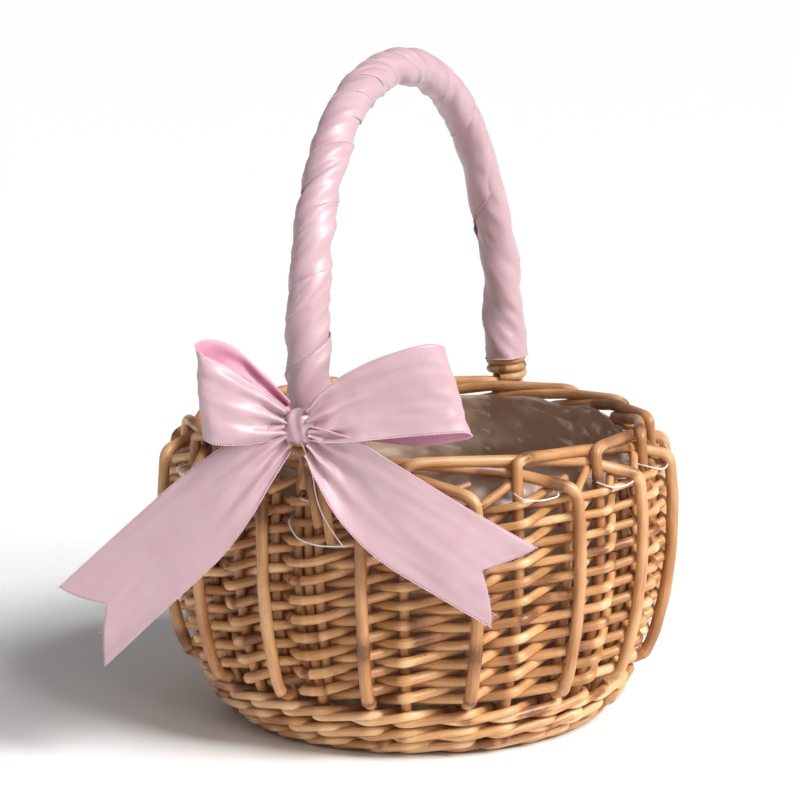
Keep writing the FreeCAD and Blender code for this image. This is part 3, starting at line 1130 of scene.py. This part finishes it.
@dataclass
class Handle:
    """Five rods in a bundle, their ends in the weave, and cane bindings at the rim.

    turns is where each rod stands in the bundle, in degrees. ends is where its ends are, beside
    the leg in bays, and then out from the wall and up in millimetres.
    """

    shop: Workshop
    rod: float = 2.2 * MM
    bundle: float = 3.91 * MM
    below_spring: float = 13 * MM
    woven_end: float = 31
    woven_heights: tuple = (56, 78, 100, 112)
    binding: float = 7.6 * MM
    binding_rod: float = 1.9 * MM
    binding_turns: float = 2.4
    binding_pitch: float = 2.05
    binding_steps: int = 18
    binding_bottom: float = 132.5 * MM
    turns: tuple = (198, 342, 54, 126, 270)
    ends: tuple = (
        (-0.115, 0.2, 30.0), (0.115, 0.2, 30.0), (0.33, 9.4, 98.0), (0.20, 9.4, 105.0), (-0.02, 5.2, 119.0),
    )

    def build(self) -> None:
        """Makes the rods and the bindings."""
        shop, finishes = self.shop, self.shop.finishes
        for index in range(len(self.turns)):
            shop.woven(
                f"handle_core_{index + 1}", f"handle_rod_{index + 1}", Slot.CORE, [self._rod(index)],
                finishes.stake, seed=110 + index, wander=0.4 * MM,
            )
        for side in Side:
            name = side.name.lower()
            shop.woven(
                "cane_wraps_" + name, "cane_binding_" + name, Slot.CANE, [self._binding(side)],
                finishes.cane, seed=120 + side.value[0], wander=0.3 * MM, flatten=1.15, cut=False,
            )

    def _leg(self, side: Side, index: int) -> list[Vector]:
        """The corners of a rod below the binding.

        Args:
            side: the leg.
            index: the rod.

        Returns:
            The corners from its end upwards.
        """
        bay, stand_off, low = self.ends[index]
        half_bay, sign = side.value
        heights = (low, *self.woven_heights) if low < self.woven_end else (low,)
        wall = self.shop.wall
        return [wall.stake(half_bay, stand_off * MM, height * MM, -sign * bay) for height in heights]

    def _rod(self, index: int) -> Rod:
        """One rod from its end in one leg to its end in the other.

        Args:
            index: its place in the bundle.

        Returns:
            The rod.
        """
        arch = self.shop.arch
        turn = math.radians(self.turns[index])
        across, out = self.bundle * math.cos(turn), self.bundle * math.sin(turn)
        reach, low = arch.half_span + out, arch.spring - self.below_spring
        corners = self._leg(Side.FRONT, index) + [arch.leaned(across, -reach, low)]
        corners += arch.line(out, across, 18) + [arch.leaned(across, reach, low)]
        corners += reversed(self._leg(Side.BACK, index))
        return Rod(corners, self.rod, self.rod, 0.35 + 0.07 * index, 0.4, 8 * MM)

    def _binding(self, side: Side) -> Rod:
        """A cane that winds round the bundle.

        Args:
            side: the leg.

        Returns:
            The cane.
        """
        arch = self.shop.arch
        corners = []
        for step in range(round(self.binding_turns * self.binding_steps) + 1):
            angle = 2 * math.pi * step / self.binding_steps
            rise = step / self.binding_steps * self.binding_pitch * self.binding_rod
            centre = arch.leaned(0.0, side.value[1] * arch.half_span, self.binding_bottom + rise)
            corners.append(centre + self.binding * Vector((math.sin(angle), -math.cos(angle), 0.0)))
        return Rod(corners, self.binding_rod, self.binding_rod, 0.45, 0.4, 4 * MM)


# ---- ribbon -------------------------------------------------------------------------------
class Beads:
    """Sets the small loops of a woven ribbon's edge along lines."""

    SIZES = {"Spacing": 1.15 * MM, "Radius": 0.3 * MM, "Stretch": 1.5}

    def __init__(self) -> None:
        """Builds the tree that sets the loops."""
        tree = GeometryTree("edge loops", tuple(self.SIZES))
        given = tree.given
        spacing = {"Curve": tree.curve(), "Length": given["Spacing"]}
        spaced = tree.add("GeometryNodeResampleCurve", spacing, mode="LENGTH")
        bead = tree.add("GeometryNodeMeshUVSphere", {"Segments": 6, "Rings": 4, "Radius": given["Radius"]})
        tangent = tree.add("GeometryNodeInputTangent")
        turned = tree.add("FunctionNodeAlignRotationToVector", {"Vector": tangent}, axis="Z")
        size = tree.add("ShaderNodeCombineXYZ", {0: 1.0, 1: 1.0, 2: given["Stretch"]})
        tree.end(tree.add("GeometryNodeInstanceOnPoints", {
            "Points": spaced, "Instance": bead, "Rotation": turned, "Scale": size,
        }))
        self.tree = tree

    def along(
        self, name: str, lines: Sequence[Sequence[Vector]], finish: bpy.types.Material
    ) -> bpy.types.Object:
        """One piece of beads along the lines."""
        return linked(name, self.tree.run(polylines(lines), {**self.SIZES, "Material": finish}))


@dataclass
class Cloth:
    """A grid of points that becomes a thin ribbon with a right and a wrong side.

    lengths is how far along the ribbon each row is; flipped turns the right side round.
    """

    rows: list[list[Vector]]
    lengths: list[float]
    width: float
    flipped: bool = False

    def piece(self, name: str, finishes: Finishes, thickness: float = 0.35 * MM) -> bpy.types.Object:
        """Makes the cloth as a mesh with a UV map in metres and a thickness.

        Args:
            name: the piece's name.
            finishes: holds the satin and its reverse.
            thickness: the ribbon's thickness.

        Returns:
            The linked object.
        """
        across = len(self.rows[0])
        faces = grid_faces(len(self.rows), across)
        if self.flipped:
            faces = [face[::-1] for face in faces]
        points = [point for row in self.rows for point in row]
        mesh = surface(points, faces, finishes.satin, finishes.satin_back_painted_glow)
        lay_flat(mesh, [
            (length, self.width * one / (across - 1)) for length in self.lengths for one in range(across)
        ])
        piece = linked(name, mesh)
        thicken(piece, thickness, 1)
        return piece

    def edges(self) -> list[list[Vector]]:
        """The two long edges."""
        return [[row[0] for row in self.rows], [row[-1] for row in self.rows]]


@dataclass(frozen=True)
class Station:
    """A place along a ribbon, in millimetres.

    share is how much of the width is spread out: the rest is taken up in pleats. cup bows
    the ribbon across, towards its right side.
    """

    centre: tuple
    across: tuple
    share: float = 1.0
    cup: float = 0.0

    def values(self) -> list[float]:
        """The station as numbers that can be mixed."""
        width = Vector(self.across).normalized() * self.share
        return [*(Vector(self.centre) * MM), *width, self.share, self.cup * MM]


def mixed(stations: Sequence[Station], place: float) -> list[float]:
    """Catmull-Rom values between stations.

    Args:
        stations: the stations.
        place: where, from 0 to the number of spans.

    Returns:
        The mixed values, in the order that Station gives them.
    """
    last = len(stations) - 1
    index = min(int(place), last - 1)
    share = place - index
    around = [stations[min(max(index + step, 0), last)].values() for step in (-1, 0, 1, 2)]
    mix = []
    for before, start, end, after in zip(*around):
        mix.append(0.5 * (
            2 * start + (end - before) * share
            + (2 * before - 5 * start + 4 * end - after) * share ** 2
            + (3 * start - before - 3 * end + after) * share ** 3
        ))
    return mix


@dataclass
class Bow:
    """The knot, two loops and two notched tails of one wide satin ribbon.

    RIPPLES are waves of the surface: how quickly they come along and across, a step between
    the ribbons, and a height in millimetres.
    """

    shop: Workshop
    width: float = 38 * MM
    rows: int = 110
    columns: int = 34
    pleats: float = 3.0
    pleat_depth: float = 3.4
    notch: float = 12 * MM
    knot_turns: int = 72
    knot_levels: int = 30
    knot_squareness: float = 3.2
    knot_weave: float = 0.7 * MM

    RIPPLES = ((0.55, 0.9, 3.7, 1.5), (0.9, 5.0, 1.3, 0.5), (2.0, 3.2, 2.1, 1.1))
    TAIL_LEFT = (
        Station((-2.5, -129.5, 144.5), (-2, -2, 14), 0.34),
        Station((-9.5, -134.0, 137.5), (-4, -2, 26), 0.60, 1.5),
        Station((-20.0, -138.0, 126.5), (-8, -3, 33), 0.86, 2.0),
        Station((-36.0, -141.5, 110.5), (-12.6, -5.5, 35.3), 1.0, 1.0),
        Station((-62.0, -146.5, 86.0), (-15, -6.5, 34), 1.0, -0.5),
        Station((-86.5, -150.8, 62.5), (-17, -7, 32), 1.0, 0.5),
    )
    TAIL_RIGHT = (
        Station((7.5, -129.0, 144.0), (3, -1, 14), 0.34),
        Station((14.5, -128.5, 137.0), (7, 0, 26), 0.62, 1.5),
        Station((24.0, -125.0, 127.5), (9, 2, 33), 0.88, 2.0),
        Station((40.0, -118.5, 113.5), (12, 5, 36), 1.0, 1.0),
        Station((61.0, -107.5, 98.0), (14.5, 6.5, 35), 1.0, -0.5),
        Station((82.0, -93.5, 82.5), (17.4, 7.5, 34.3), 1.0, 0.5),
    )
    LOOP_LEFT = (
        Station((-2.5, -130.0, 151.0), (-1, 0, 14), 0.34),
        Station((-9.0, -136.0, 154.5), (-3, 0, 22), 0.58, 1.0),
        Station((-18.0, -144.5, 158.5), (-3, 0, 30), 0.82, 2.0),
        Station((-27.0, -151.0, 162.0), (-4, -1, 35), 0.96, 1.0),
        Station((-31.5, -149.5, 164.5), (-3, -1, 37), 1.0),
        Station((-30.0, -142.5, 165.5), (-1, 0, 37), 1.0),
        Station((-23.0, -136.0, 164.0), (0, 0, 33), 0.9, -1.0),
        Station((-12.0, -130.5, 158.0), (-1, 0, 24), 0.66, -1.0),
        Station((-3.0, -125.0, 152.0), (-1, 0, 14), 0.36),
    )
    LOOP_RIGHT = (
        Station((7.5, -130.0, 151.0), (-1, 0, 14), 0.34),
        Station((15.0, -129.5, 154.5), (-3, -1, 22), 0.56, 1.0),
        Station((25.0, -127.5, 158.5), (-4, -1, 27), 0.72, 2.0),
        Station((38.0, -123.0, 162.5), (-5, -2, 31), 0.86, 2.0),
        Station((52.0, -117.0, 165.5), (-8, -2, 32), 0.95, 1.0),
        Station((60.5, -111.0, 166.0), (-11, -3, 30), 1.0),
        Station((61.5, -105.0, 163.5), (-9, -3, 32), 1.0),
        Station((55.0, -101.5, 161.0), (-4, -2, 36), 1.0),
        Station((42.0, -103.0, 158.0), (0, 0, 37), 0.95, -1.0),
        Station((25.0, -110.5, 154.5), (0, 0, 26), 0.66, -1.0),
        Station((9.0, -122.5, 151.0), (0, 0, 14), 0.36),
    )

    def build(self) -> None:
        """Makes the tails, loops and knot."""
        knot = self._knot()
        pieces = (
            ("bow_tail_left", self.TAIL_LEFT, "hung", True, 11),
            ("bow_tail_right", self.TAIL_RIGHT, "hung", True, 12),
            ("bow_loop_left", self.LOOP_LEFT, "gathered", False, 13),
            ("bow_loop_right", self.LOOP_RIGHT, "gathered", False, 14),
        )
        finishes = self.shop.finishes
        for node, stations, held, notched, seed in pieces:
            cloth = self._ribbon(stations, notched, seed, node.endswith("right"))
            piece = cloth.piece("ribbon_" + node, finishes)
            belongs(piece, Slot.RIBBON, node)
            edge = self.shop.beads.along("edge_" + node, cloth.edges(), finishes.edge)
            belongs(edge, Slot.RIBBON)
            if notched:
                self._fray(node, cloth, seed)

    def _ribbon(self, stations: Sequence[Station], notched: bool, seed: int, flipped: bool) -> Cloth:
        """The surface of a loop or tail.

        Args:
            stations: the places it passes.
            notched: whether its end is cut to a notch.
            seed: shifts its ripples.
            flipped: whether its right side is the other one.

        Returns:
            The cloth.
        """
        spans = len(stations) - 1
        centres = [Vector(mixed(stations, spans * row / self.rows)[:3]) for row in range(self.rows + 1)]
        lengths = [0.0]
        for one, two in zip(centres, centres[1:]):
            lengths.append(lengths[-1] + (two - one).length)
        rows = []
        for row in range(self.rows + 1):
            line = []
            for column in range(self.columns + 1):
                side = 2 * column / self.columns - 1
                place = row / self.rows
                if notched:
                    cut = self.notch / lengths[-1] * (1 - abs(side))
                    place *= 1 - cut * place ** 3
                line.append(self._point(stations, spans * place, side, seed))
            rows.append(line)
        return Cloth(rows, lengths, self.width, flipped)

    def _point(self, stations: Sequence[Station], place: float, side: float, seed: int) -> Vector:
        """A point of the ribbon's surface.

        Args:
            stations: the places the ribbon passes.
            place: where along it, in spans.
            side: where across it, from -1 to 1.
            seed: shifts its ripples.

        Returns:
            The point.
        """
        step = 0.02
        values = mixed(stations, place)
        ahead = Vector(mixed(stations, min(place + step, len(stations) - 1))[:3])
        behind = Vector(mixed(stations, max(place - step, 0.0))[:3])
        centre, across = Vector(values[:3]), Vector(values[3:6])
        share, cup = min(values[6], 1.0), values[7]
        normal = across.cross(ahead - behind).normalized()
        gather = max(0.0, 1 - share)
        pleat = gather * math.cos(math.pi * self.pleats * side + seed) * self.pleat_depth * MM
        lift = cup * (1 - side * side) + pleat
        closer, crush = (1.2 * gather, 0.0, 0.0), (1.0, 1.0, 0.25 + gather)
        for (along, over, shift, high), extra, depth in zip(self.RIPPLES, closer, crush):
            cloud = Vector((place * along, side * (over + extra), seed * shift))
            lift += noise.noise(cloud) * high * MM * depth
        return centre + across * (self.width / 2 * side) + normal * lift

    def _fray(self, node: str, cloth: Cloth, seed: int) -> bpy.types.Object:
        """Loose threads at a tail's cut end.

        Args:
            node: the tail's node.
            cloth: its surface.
            seed: draws the threads.

        Returns:
            The piece.
        """
        chance = random.Random(seed)
        rods = []
        for end, inner in zip(cloth.rows[-1], cloth.rows[-3]):
            out = (end - inner).normalized()
            stray = Vector([chance.uniform(-0.5, 0.5) for _ in range(3)])
            reach = chance.uniform(0.4, 1.3) * MM * (2.2 if chance.random() > 0.85 else 1.0)
            tip = end + (out + stray * 0.8) * reach
            middle = end + (out + stray * 0.2) * reach * 0.6
            rods.append(Rod([end - out * 0.4 * MM, middle, tip], 0.09 * MM, 0.05 * MM, 0.5, 0.3, 1 * MM))
        finish = self.shop.finishes.edge
        piece = self.shop.cane.sweep("fray_" + node, rods, finish, seed, 5, 0.0, cut=False)
        return belongs(piece, Slot.RIBBON)

    def _knot(self) -> bpy.types.Object:
        """The gathered band round the middle.

        Returns:
            The piece.
        """
        low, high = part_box("bow_knot")
        centre, half = (low + high) / 2, (high - low) / 2
        power = self.knot_squareness
        points, places = [], []
        for level in range(self.knot_levels + 1):
            rise = -math.pi / 2 + math.pi * level / self.knot_levels
            for turn in range(self.knot_turns):
                angle = 2 * math.pi * turn / self.knot_turns
                direction = Vector((
                    math.cos(rise) * math.cos(angle), math.cos(rise) * math.sin(angle), math.sin(rise)
                ))
                size = sum(abs(part) ** power for part in direction) ** (-1 / power)
                fold = math.sin(direction.x * size * 9.0 + 2.2 * direction.z + 0.6)
                crease = 1 - 0.05 * fold - 0.05 * noise.noise(direction * 3.1)
                reach = Vector([part * wide for part, wide in zip(direction * size, half)])
                points.append(centre + reach * crease * 0.97)
                places.append((level * self.knot_weave, turn * self.knot_weave))
        faces = grid_faces(self.knot_levels + 1, self.knot_turns, True)
        mesh = surface(points, faces, self.shop.finishes.satin)
        lay_flat(mesh, places)
        return belongs(linked("ribbon_knot", mesh), Slot.RIBBON, "bow_knot")


@dataclass
class HandleWrap:
    """One ribbon wound round the handle, each turn lying over the edge of the one before."""

    shop: Workshop
    width: float = 38 * MM
    pitch: float = 33 * MM
    front_radius: float = 8.7 * MM
    top_radius: float = 7.3 * MM
    back_radius: float = 9.2 * MM
    lift: float = 0.9 * MM
    wrinkle: float = 6.8 * MM
    thickness: float = 0.3 * MM
    rows: int = 760
    columns: int = 34

    WRINKLES_UP = 26.0
    WRINKLES_ROUND = 95.0
    WRINKLES_SLANT = 70.0

    def build(self) -> None:
        """Makes the wound ribbon with its edges."""
        arch, finishes = self.shop.arch, self.shop.finishes
        line = [arch.leaned(0.0, -arch.half_span, arch.foot)] + arch.line()
        line.append(arch.leaned(0.0, arch.half_span, arch.foot))
        rise = sum((two - one).length for one, two in zip(line, line[1:]))
        girth = 2 * math.pi * (self.front_radius + self.back_radius + 2 * self.top_radius) / 4
        slant = math.atan(self.pitch / girth)
        length = (rise + self.width * math.cos(slant)) / math.sin(slant)
        radii = []
        for point in line:
            high = max(0.0, (point.z - arch.foot) / (arch.rise + arch.spring - arch.foot))
            leg = self.front_radius if point.y < 0 else self.back_radius
            radii.append(leg + (self.top_radius - leg) * math.sin(high * math.pi / 2))
        plain = self._tree().run(polylines([line], wrap_radius=radii), {
            "Ribbon length": length, "Ribbon width": self.width, "Slant": slant,
            "Line length": rise, "Aside": arch.aside, "Edge lift": self.lift,
            "Wrinkle": self.wrinkle, "Rows": self.rows, "Columns": self.columns,
            "Seed": 4.0, "Material": finishes.satin,
        })
        points = [vertex.co.copy() for vertex in plain.vertices]
        rows = [points[row * self.columns:(row + 1) * self.columns] for row in range(self.rows)]
        lengths = [length * row / (self.rows - 1) for row in range(self.rows)]
        cloth = Cloth(rows, lengths, self.width, True)
        piece = cloth.piece("ribbon_handle_wrap", finishes, self.thickness)
        belongs(piece, Slot.RIBBON, "handle_wrap")
        edge = self.shop.beads.along("edge_handle_wrap", cloth.edges()[1:], finishes.edge)
        belongs(edge, Slot.RIBBON)

    def _tree(self) -> GeometryTree:
        """The tree that winds a flat grid round the handle's line.

        Returns:
            The tree.
        """
        floats = ("Ribbon length", "Ribbon width", "Slant", "Line length", "Edge lift", "Wrinkle", "Seed")
        tree = GeometryTree("wound ribbon", floats, ("Rows", "Columns"), ("Aside",))
        given = tree.given
        grid = tree.add("GeometryNodeMeshGrid", {
            "Size X": given["Ribbon length"], "Size Y": given["Ribbon width"],
            "Vertices X": given["Rows"], "Vertices Y": given["Columns"],
        })
        flat = tree.add("ShaderNodeSeparateXYZ", {0: tree.add("GeometryNodeInputPosition")})
        along = tree.plus(flat.outputs[0], tree.times(given["Ribbon length"], 0.5))
        across = flat.outputs[1]
        sine, cosine = tree.math("SINE", given["Slant"]), tree.math("COSINE", given["Slant"])
        height = tree.plus(tree.times(along, sine), tree.times(across, cosine))
        height = tree.minus(height, tree.times(tree.times(given["Ribbon width"], 0.5), cosine))
        height = tree.math("MINIMUM", tree.math("MAXIMUM", height, 0.0), given["Line length"])
        round_way = tree.minus(tree.times(along, cosine), tree.times(across, sine))
        sample = {"Curves": tree.curve(), "Length": height, "Value": tree.named("wrap_radius")}
        found = tree.add("GeometryNodeSampleCurve", sample, mode="LENGTH")
        radius = found.outputs["Value"]
        angle = tree.math("DIVIDE", round_way, radius)
        out = tree.vector("CROSS_PRODUCT", found.outputs["Tangent"], given["Aside"])
        direction = tree.vector(
            "ADD",
            tree.scaled(given["Aside"], tree.math("COSINE", angle)),
            tree.scaled(out, tree.math("SINE", angle)),
        )
        edge = tree.math("DIVIDE", across, given["Ribbon width"])
        raised = tree.times(tree.plus(edge, 0.5), given["Edge lift"])
        slanted = tree.minus(
            tree.times(round_way, self.WRINKLES_ROUND), tree.times(height, self.WRINKLES_SLANT)
        )
        stretched = tree.add(
            "ShaderNodeCombineXYZ", {0: tree.times(height, self.WRINKLES_UP), 1: slanted, 2: 0.0}
        )
        cloud = tree.add(
            "ShaderNodeTexNoise", {"Vector": stretched, "W": given["Seed"], "Scale": 1.0, "Detail": 2.5},
            noise_dimensions="4D",
        )
        wave = tree.times(tree.minus(cloud, 0.5), given["Wrinkle"])
        reach = tree.plus(tree.plus(radius, raised), wave)
        place = tree.vector("ADD", found.outputs["Position"], tree.scaled(direction, reach))
        tree.end(tree.add("GeometryNodeSetPosition", {"Geometry": grid.outputs[0], "Position": place}))
        return tree


# ---- liner and threads --------------------------------------------------------------------
@dataclass
class Liner:
    """A crumpled film that lines the bowl, with stitches and a fine tie thread.

    STITCH, SLACK and TIE are the corners of the threads: the place in bays (for a stitch,
    beside its stake), and then out from the wall and up in millimetres.
    """

    shop: Workshop
    gap: float = 10.2 * MM
    floor: float = 15.4 * MM
    top: float = 126 * MM
    uneven: float = 5 * MM
    film: float = 0.1 * MM
    rows: int = 70
    columns: int = 220
    floor_share: float = 0.3
    crumple: float = 3.2 * MM
    thread: float = 0.33 * MM
    tie_diameter: float = 0.6 * MM
    tie_length: float = 51 * MM

    STITCH = (
        (-0.06, -8.2, 118.6), (-0.04, 7.8, 115.6), (0.16, 8.4, 114.7), (0.38, 8.2, 115.8),
        (0.44, -8.2, 118.6),
    )
    SLACK = (
        (-0.27, -8.2, 108.0), (-0.26, 6.0, 106.0), (-0.20, 8.8, 103.5), (-0.08, 11.6, 99.5),
        (0.14, 13.2, 98.0), (0.44, 11.4, 98.6), (0.52, -8.2, 101.0),
    )
    TIE = ((0.04, 12.6, 130.0), (0.10, 12.8, 116.0), (0.24, 12.9, 105.0), (0.37, 12.6, 98.0))

    def build(self) -> None:
        """Makes the film and the threads."""
        shop = self.shop
        piece = linked("film_liner", self._film())
        belongs(piece, Slot.FILM, "liner")
        thicken(piece, self.film)
        rods = [self._stitch(half_bay) for half_bay in range(0, shop.wall.stakes, 2)]
        rods.append(self._slack())
        shop.woven(
            "thread_stitches", "liner_stitches", Slot.THREAD, rods,
            shop.finishes.thread, seed=7, sides=6, wander=0.3 * MM, cut=False,
        )
        self._tie()

    def _film(self) -> bpy.types.Mesh:
        """The cup of film, creased by noise, its top edge uneven.

        Returns:
            The mesh.
        """
        wall = self.shop.wall
        points = []
        bottom = wall.radius(self.floor) - self.gap
        for row in range(self.rows + 1):
            share = row / self.rows
            for column in range(self.columns):
                angle = 2 * math.pi * column / self.columns
                way = Vector((math.sin(angle), -math.cos(angle), 0.0))
                lies = share < self.floor_share
                if lies:
                    radius, height = bottom * (0.02 + 0.98 * share / self.floor_share), self.floor
                else:
                    top = self.top + self.uneven * noise.noise(way * 3.1)
                    rise = (share - self.floor_share) / (1 - self.floor_share)
                    height = self.floor + (top - self.floor) * rise
                    radius = wall.radius(height) - self.gap
                place = way * radius + Vector((0.0, 0.0, height))
                fold = abs(noise.noise(place * 38.0)) + 0.6 * abs(noise.noise(place * 95.0))
                inward = self.crumple * fold * (0.35 + 1.2 * share)
                points.append(place + (Vector((0.0, 0.0, inward * 0.5)) if lies else -way * inward))
        faces = grid_faces(self.rows + 1, self.columns, True)
        middle = len(points)
        points.append(Vector((0.0, 0.0, self.floor)))
        faces += [(middle, (column + 1) % self.columns, column) for column in range(self.columns)]
        return surface(points, faces, self.shop.finishes.film)

    def _stitch(self, half_bay: int) -> Rod:
        """A stitch: out over the top weaver, slack along it and back in.

        Args:
            half_bay: the stake it is sewn round.

        Returns:
            The thread.
        """
        stake = self.shop.wall.stake
        corners = [stake(half_bay, out * MM, high * MM, aside) for aside, out, high in self.STITCH]
        return Rod(corners, self.thread, self.thread, 0.5, 0.35, 2 * MM)

    def _slack(self) -> Rod:
        """The one long stitch, which hangs slack round the bow's leg and is sewn in at both ends."""
        return Rod(self._corners(self.SLACK), self.thread, self.thread, 0.5, 0.4, 2 * MM)

    def _corners(self, places: Sequence[tuple]) -> list[Vector]:
        """Points at the wall."""
        return [self.shop.wall.at(bay, out * MM, high * MM) for bay, out, high in places]

    def _tie(self) -> None:
        """The loose thread that hangs from the knot over the splayed rods."""
        low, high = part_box("bow_knot")
        start = Vector(((low.x + high.x) / 2, (low.y + high.y) / 2, low.z - 0.2 * MM))
        route = [start] + self._corners(self.TIE)
        data = bpy.data.curves.new("thread_tie", "CURVE")
        data.dimensions = "3D"
        data.bevel_depth = self.tie_diameter / 2
        data.bevel_resolution = 2
        data.use_fill_caps = True
        data.resolution_u = 12
        spline = data.splines.new("NURBS")
        spline.points.add(len(route) - 1)
        for point, place in zip(spline.points, route):
            point.co = (*place, 1.0)
        spline.order_u = 3
        spline.use_endpoint_u = True
        data.materials.append(self.shop.finishes.thread)
        piece = belongs(linked("thread_tie", data), Slot.THREAD, "tie_thread")


# ---- studio -------------------------------------------------------------------------------
@dataclass(frozen=True)
class Lamp:
    """A soft rectangular light that faces the object."""

    name: str
    place: tuple
    size: float
    power: float
    colour: tuple = (1.0, 1.0, 1.0)


@dataclass(frozen=True)
class Studio:
    """Pale floor, soft light and the camera."""

    azimuth: float = 23.4
    elevation: float = 10.3
    distance: float = 1.25
    lens: float = 126.6
    look_at: tuple = (-7.4 * MM, -3.2 * MM, 138.5 * MM)
    floor_colour: tuple = (0.95, 0.95, 0.95)
    floor_reach: float = 60.0
    world: float = 0.24
    horizon: float = 0.8
    horizon_band: float = 0.14
    sun_place: tuple = (1.0, -0.2, 0.9)
    sun_power: float = 4.0
    sun_angle: float = math.radians(24)
    window: Lamp = Lamp("window", (0.9, -0.8, 0.6), 0.35, 2.2, (1.0, 0.98, 0.95))

    def build(self) -> None:
        """Makes the floor, lights, world and camera."""
        scene = bpy.context.scene
        scene.view_settings.view_transform = "Standard"
        self._floor()
        self._window()
        sun = bpy.data.lights.new("sun", "SUN")
        sun.energy, sun.angle = self.sun_power, self.sun_angle
        shine = linked("sun", sun)
        shine.rotation_euler = Vector(self.sun_place).to_track_quat("Z", "Y").to_euler()
        scene.world = self._world()
        self._camera(scene)

    def _window(self) -> None:
        """The soft lamp that lights the bow's side."""
        lamp = self.window
        data = bpy.data.lights.new(lamp.name, "AREA")
        data.size, data.energy, data.color = lamp.size, lamp.power, lamp.colour
        light = linked(lamp.name, data)
        light.location = lamp.place
        aim = Vector(self.look_at) - light.location
        light.rotation_euler = aim.to_track_quat("-Z", "Y").to_euler()

    def _world(self) -> bpy.types.World:
        """A white surrounding, brighter in a band above the horizon.

        Returns:
            The world.
        """
        world = bpy.data.worlds.new("studio")
        world.use_nodes = True
        sky = world.node_tree.nodes["Background"]
        sky.inputs["Color"].default_value = (1.0, 1.0, 1.0, 1.0)
        graph = Graph(world.node_tree)
        height = graph.add("ShaderNodeSeparateXYZ", {0: graph.add("ShaderNodeTexCoord").outputs["Generated"]})
        fade = {
            "Value": height.outputs["Z"], "From Min": 0.0, "From Max": self.horizon_band,
            "To Min": self.horizon, "To Max": self.world,
        }
        graph.feed(sky.inputs["Strength"], graph.add("ShaderNodeMapRange", fade))
        return world

    def _floor(self) -> None:
        """A plain floor that reaches past the view."""
        far = self.floor_reach
        corners = [Vector((x, y, 0.0)) for x, y in ((-far, -far), (far, -far), (far, far), (-far, far))]
        finish = PlainFinish("studio floor", self.floor_colour, 0.9).build()
        linked("floor", surface(corners, [(0, 1, 2, 3)], finish))

    def _camera(self, scene: bpy.types.Scene) -> None:
        """The camera, a little above the rim and to the right of the bow.

        Args:
            scene: the scene that takes it.
        """
        turn, rise = math.radians(self.azimuth), math.radians(self.elevation)
        back = Vector((math.sin(turn) * math.cos(rise), -math.cos(turn) * math.cos(rise), math.sin(rise)))
        data = bpy.data.cameras.new("camera")
        data.lens = self.lens
        camera = linked("camera", data)
        camera.location = Vector(self.look_at) + back * self.distance
        camera.rotation_euler = back.to_track_quat("Z", "Y").to_euler()
        scene.camera = camera


def measured_wall() -> Wall:
    """The wall's shape, with its size read from the frame.

    Returns:
        The wall.
    """
    low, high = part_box("liner")
    liner_gap = 9.6 * MM
    rim_above = 2.2 * MM
    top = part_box("border_stake_01")[1].z
    return Wall(belly_radius=(high.x - low.x) / 2 + liner_gap, rim_height=top - rim_above)


def main() -> None:
    """Builds the basket and the studio."""
    wall = measured_wall()
    LOG.info("wall: belly radius %.1f mm, rim %.1f mm", wall.belly_radius / MM, wall.rim_height / MM)
    finishes = Finishes()
    shop = Workshop(wall, Arch(), finishes, Cane(finishes.cut), Beads())
    for part in (Base, FootWale, Stakes, SideWeave, Handle, HandleWrap, Bow, Liner):
        part(shop).build()
        LOG.info("%s: done", part.__name__)
    Studio().build()
    LOG.info("studio: done")


if __name__ == "__main__":
    main()
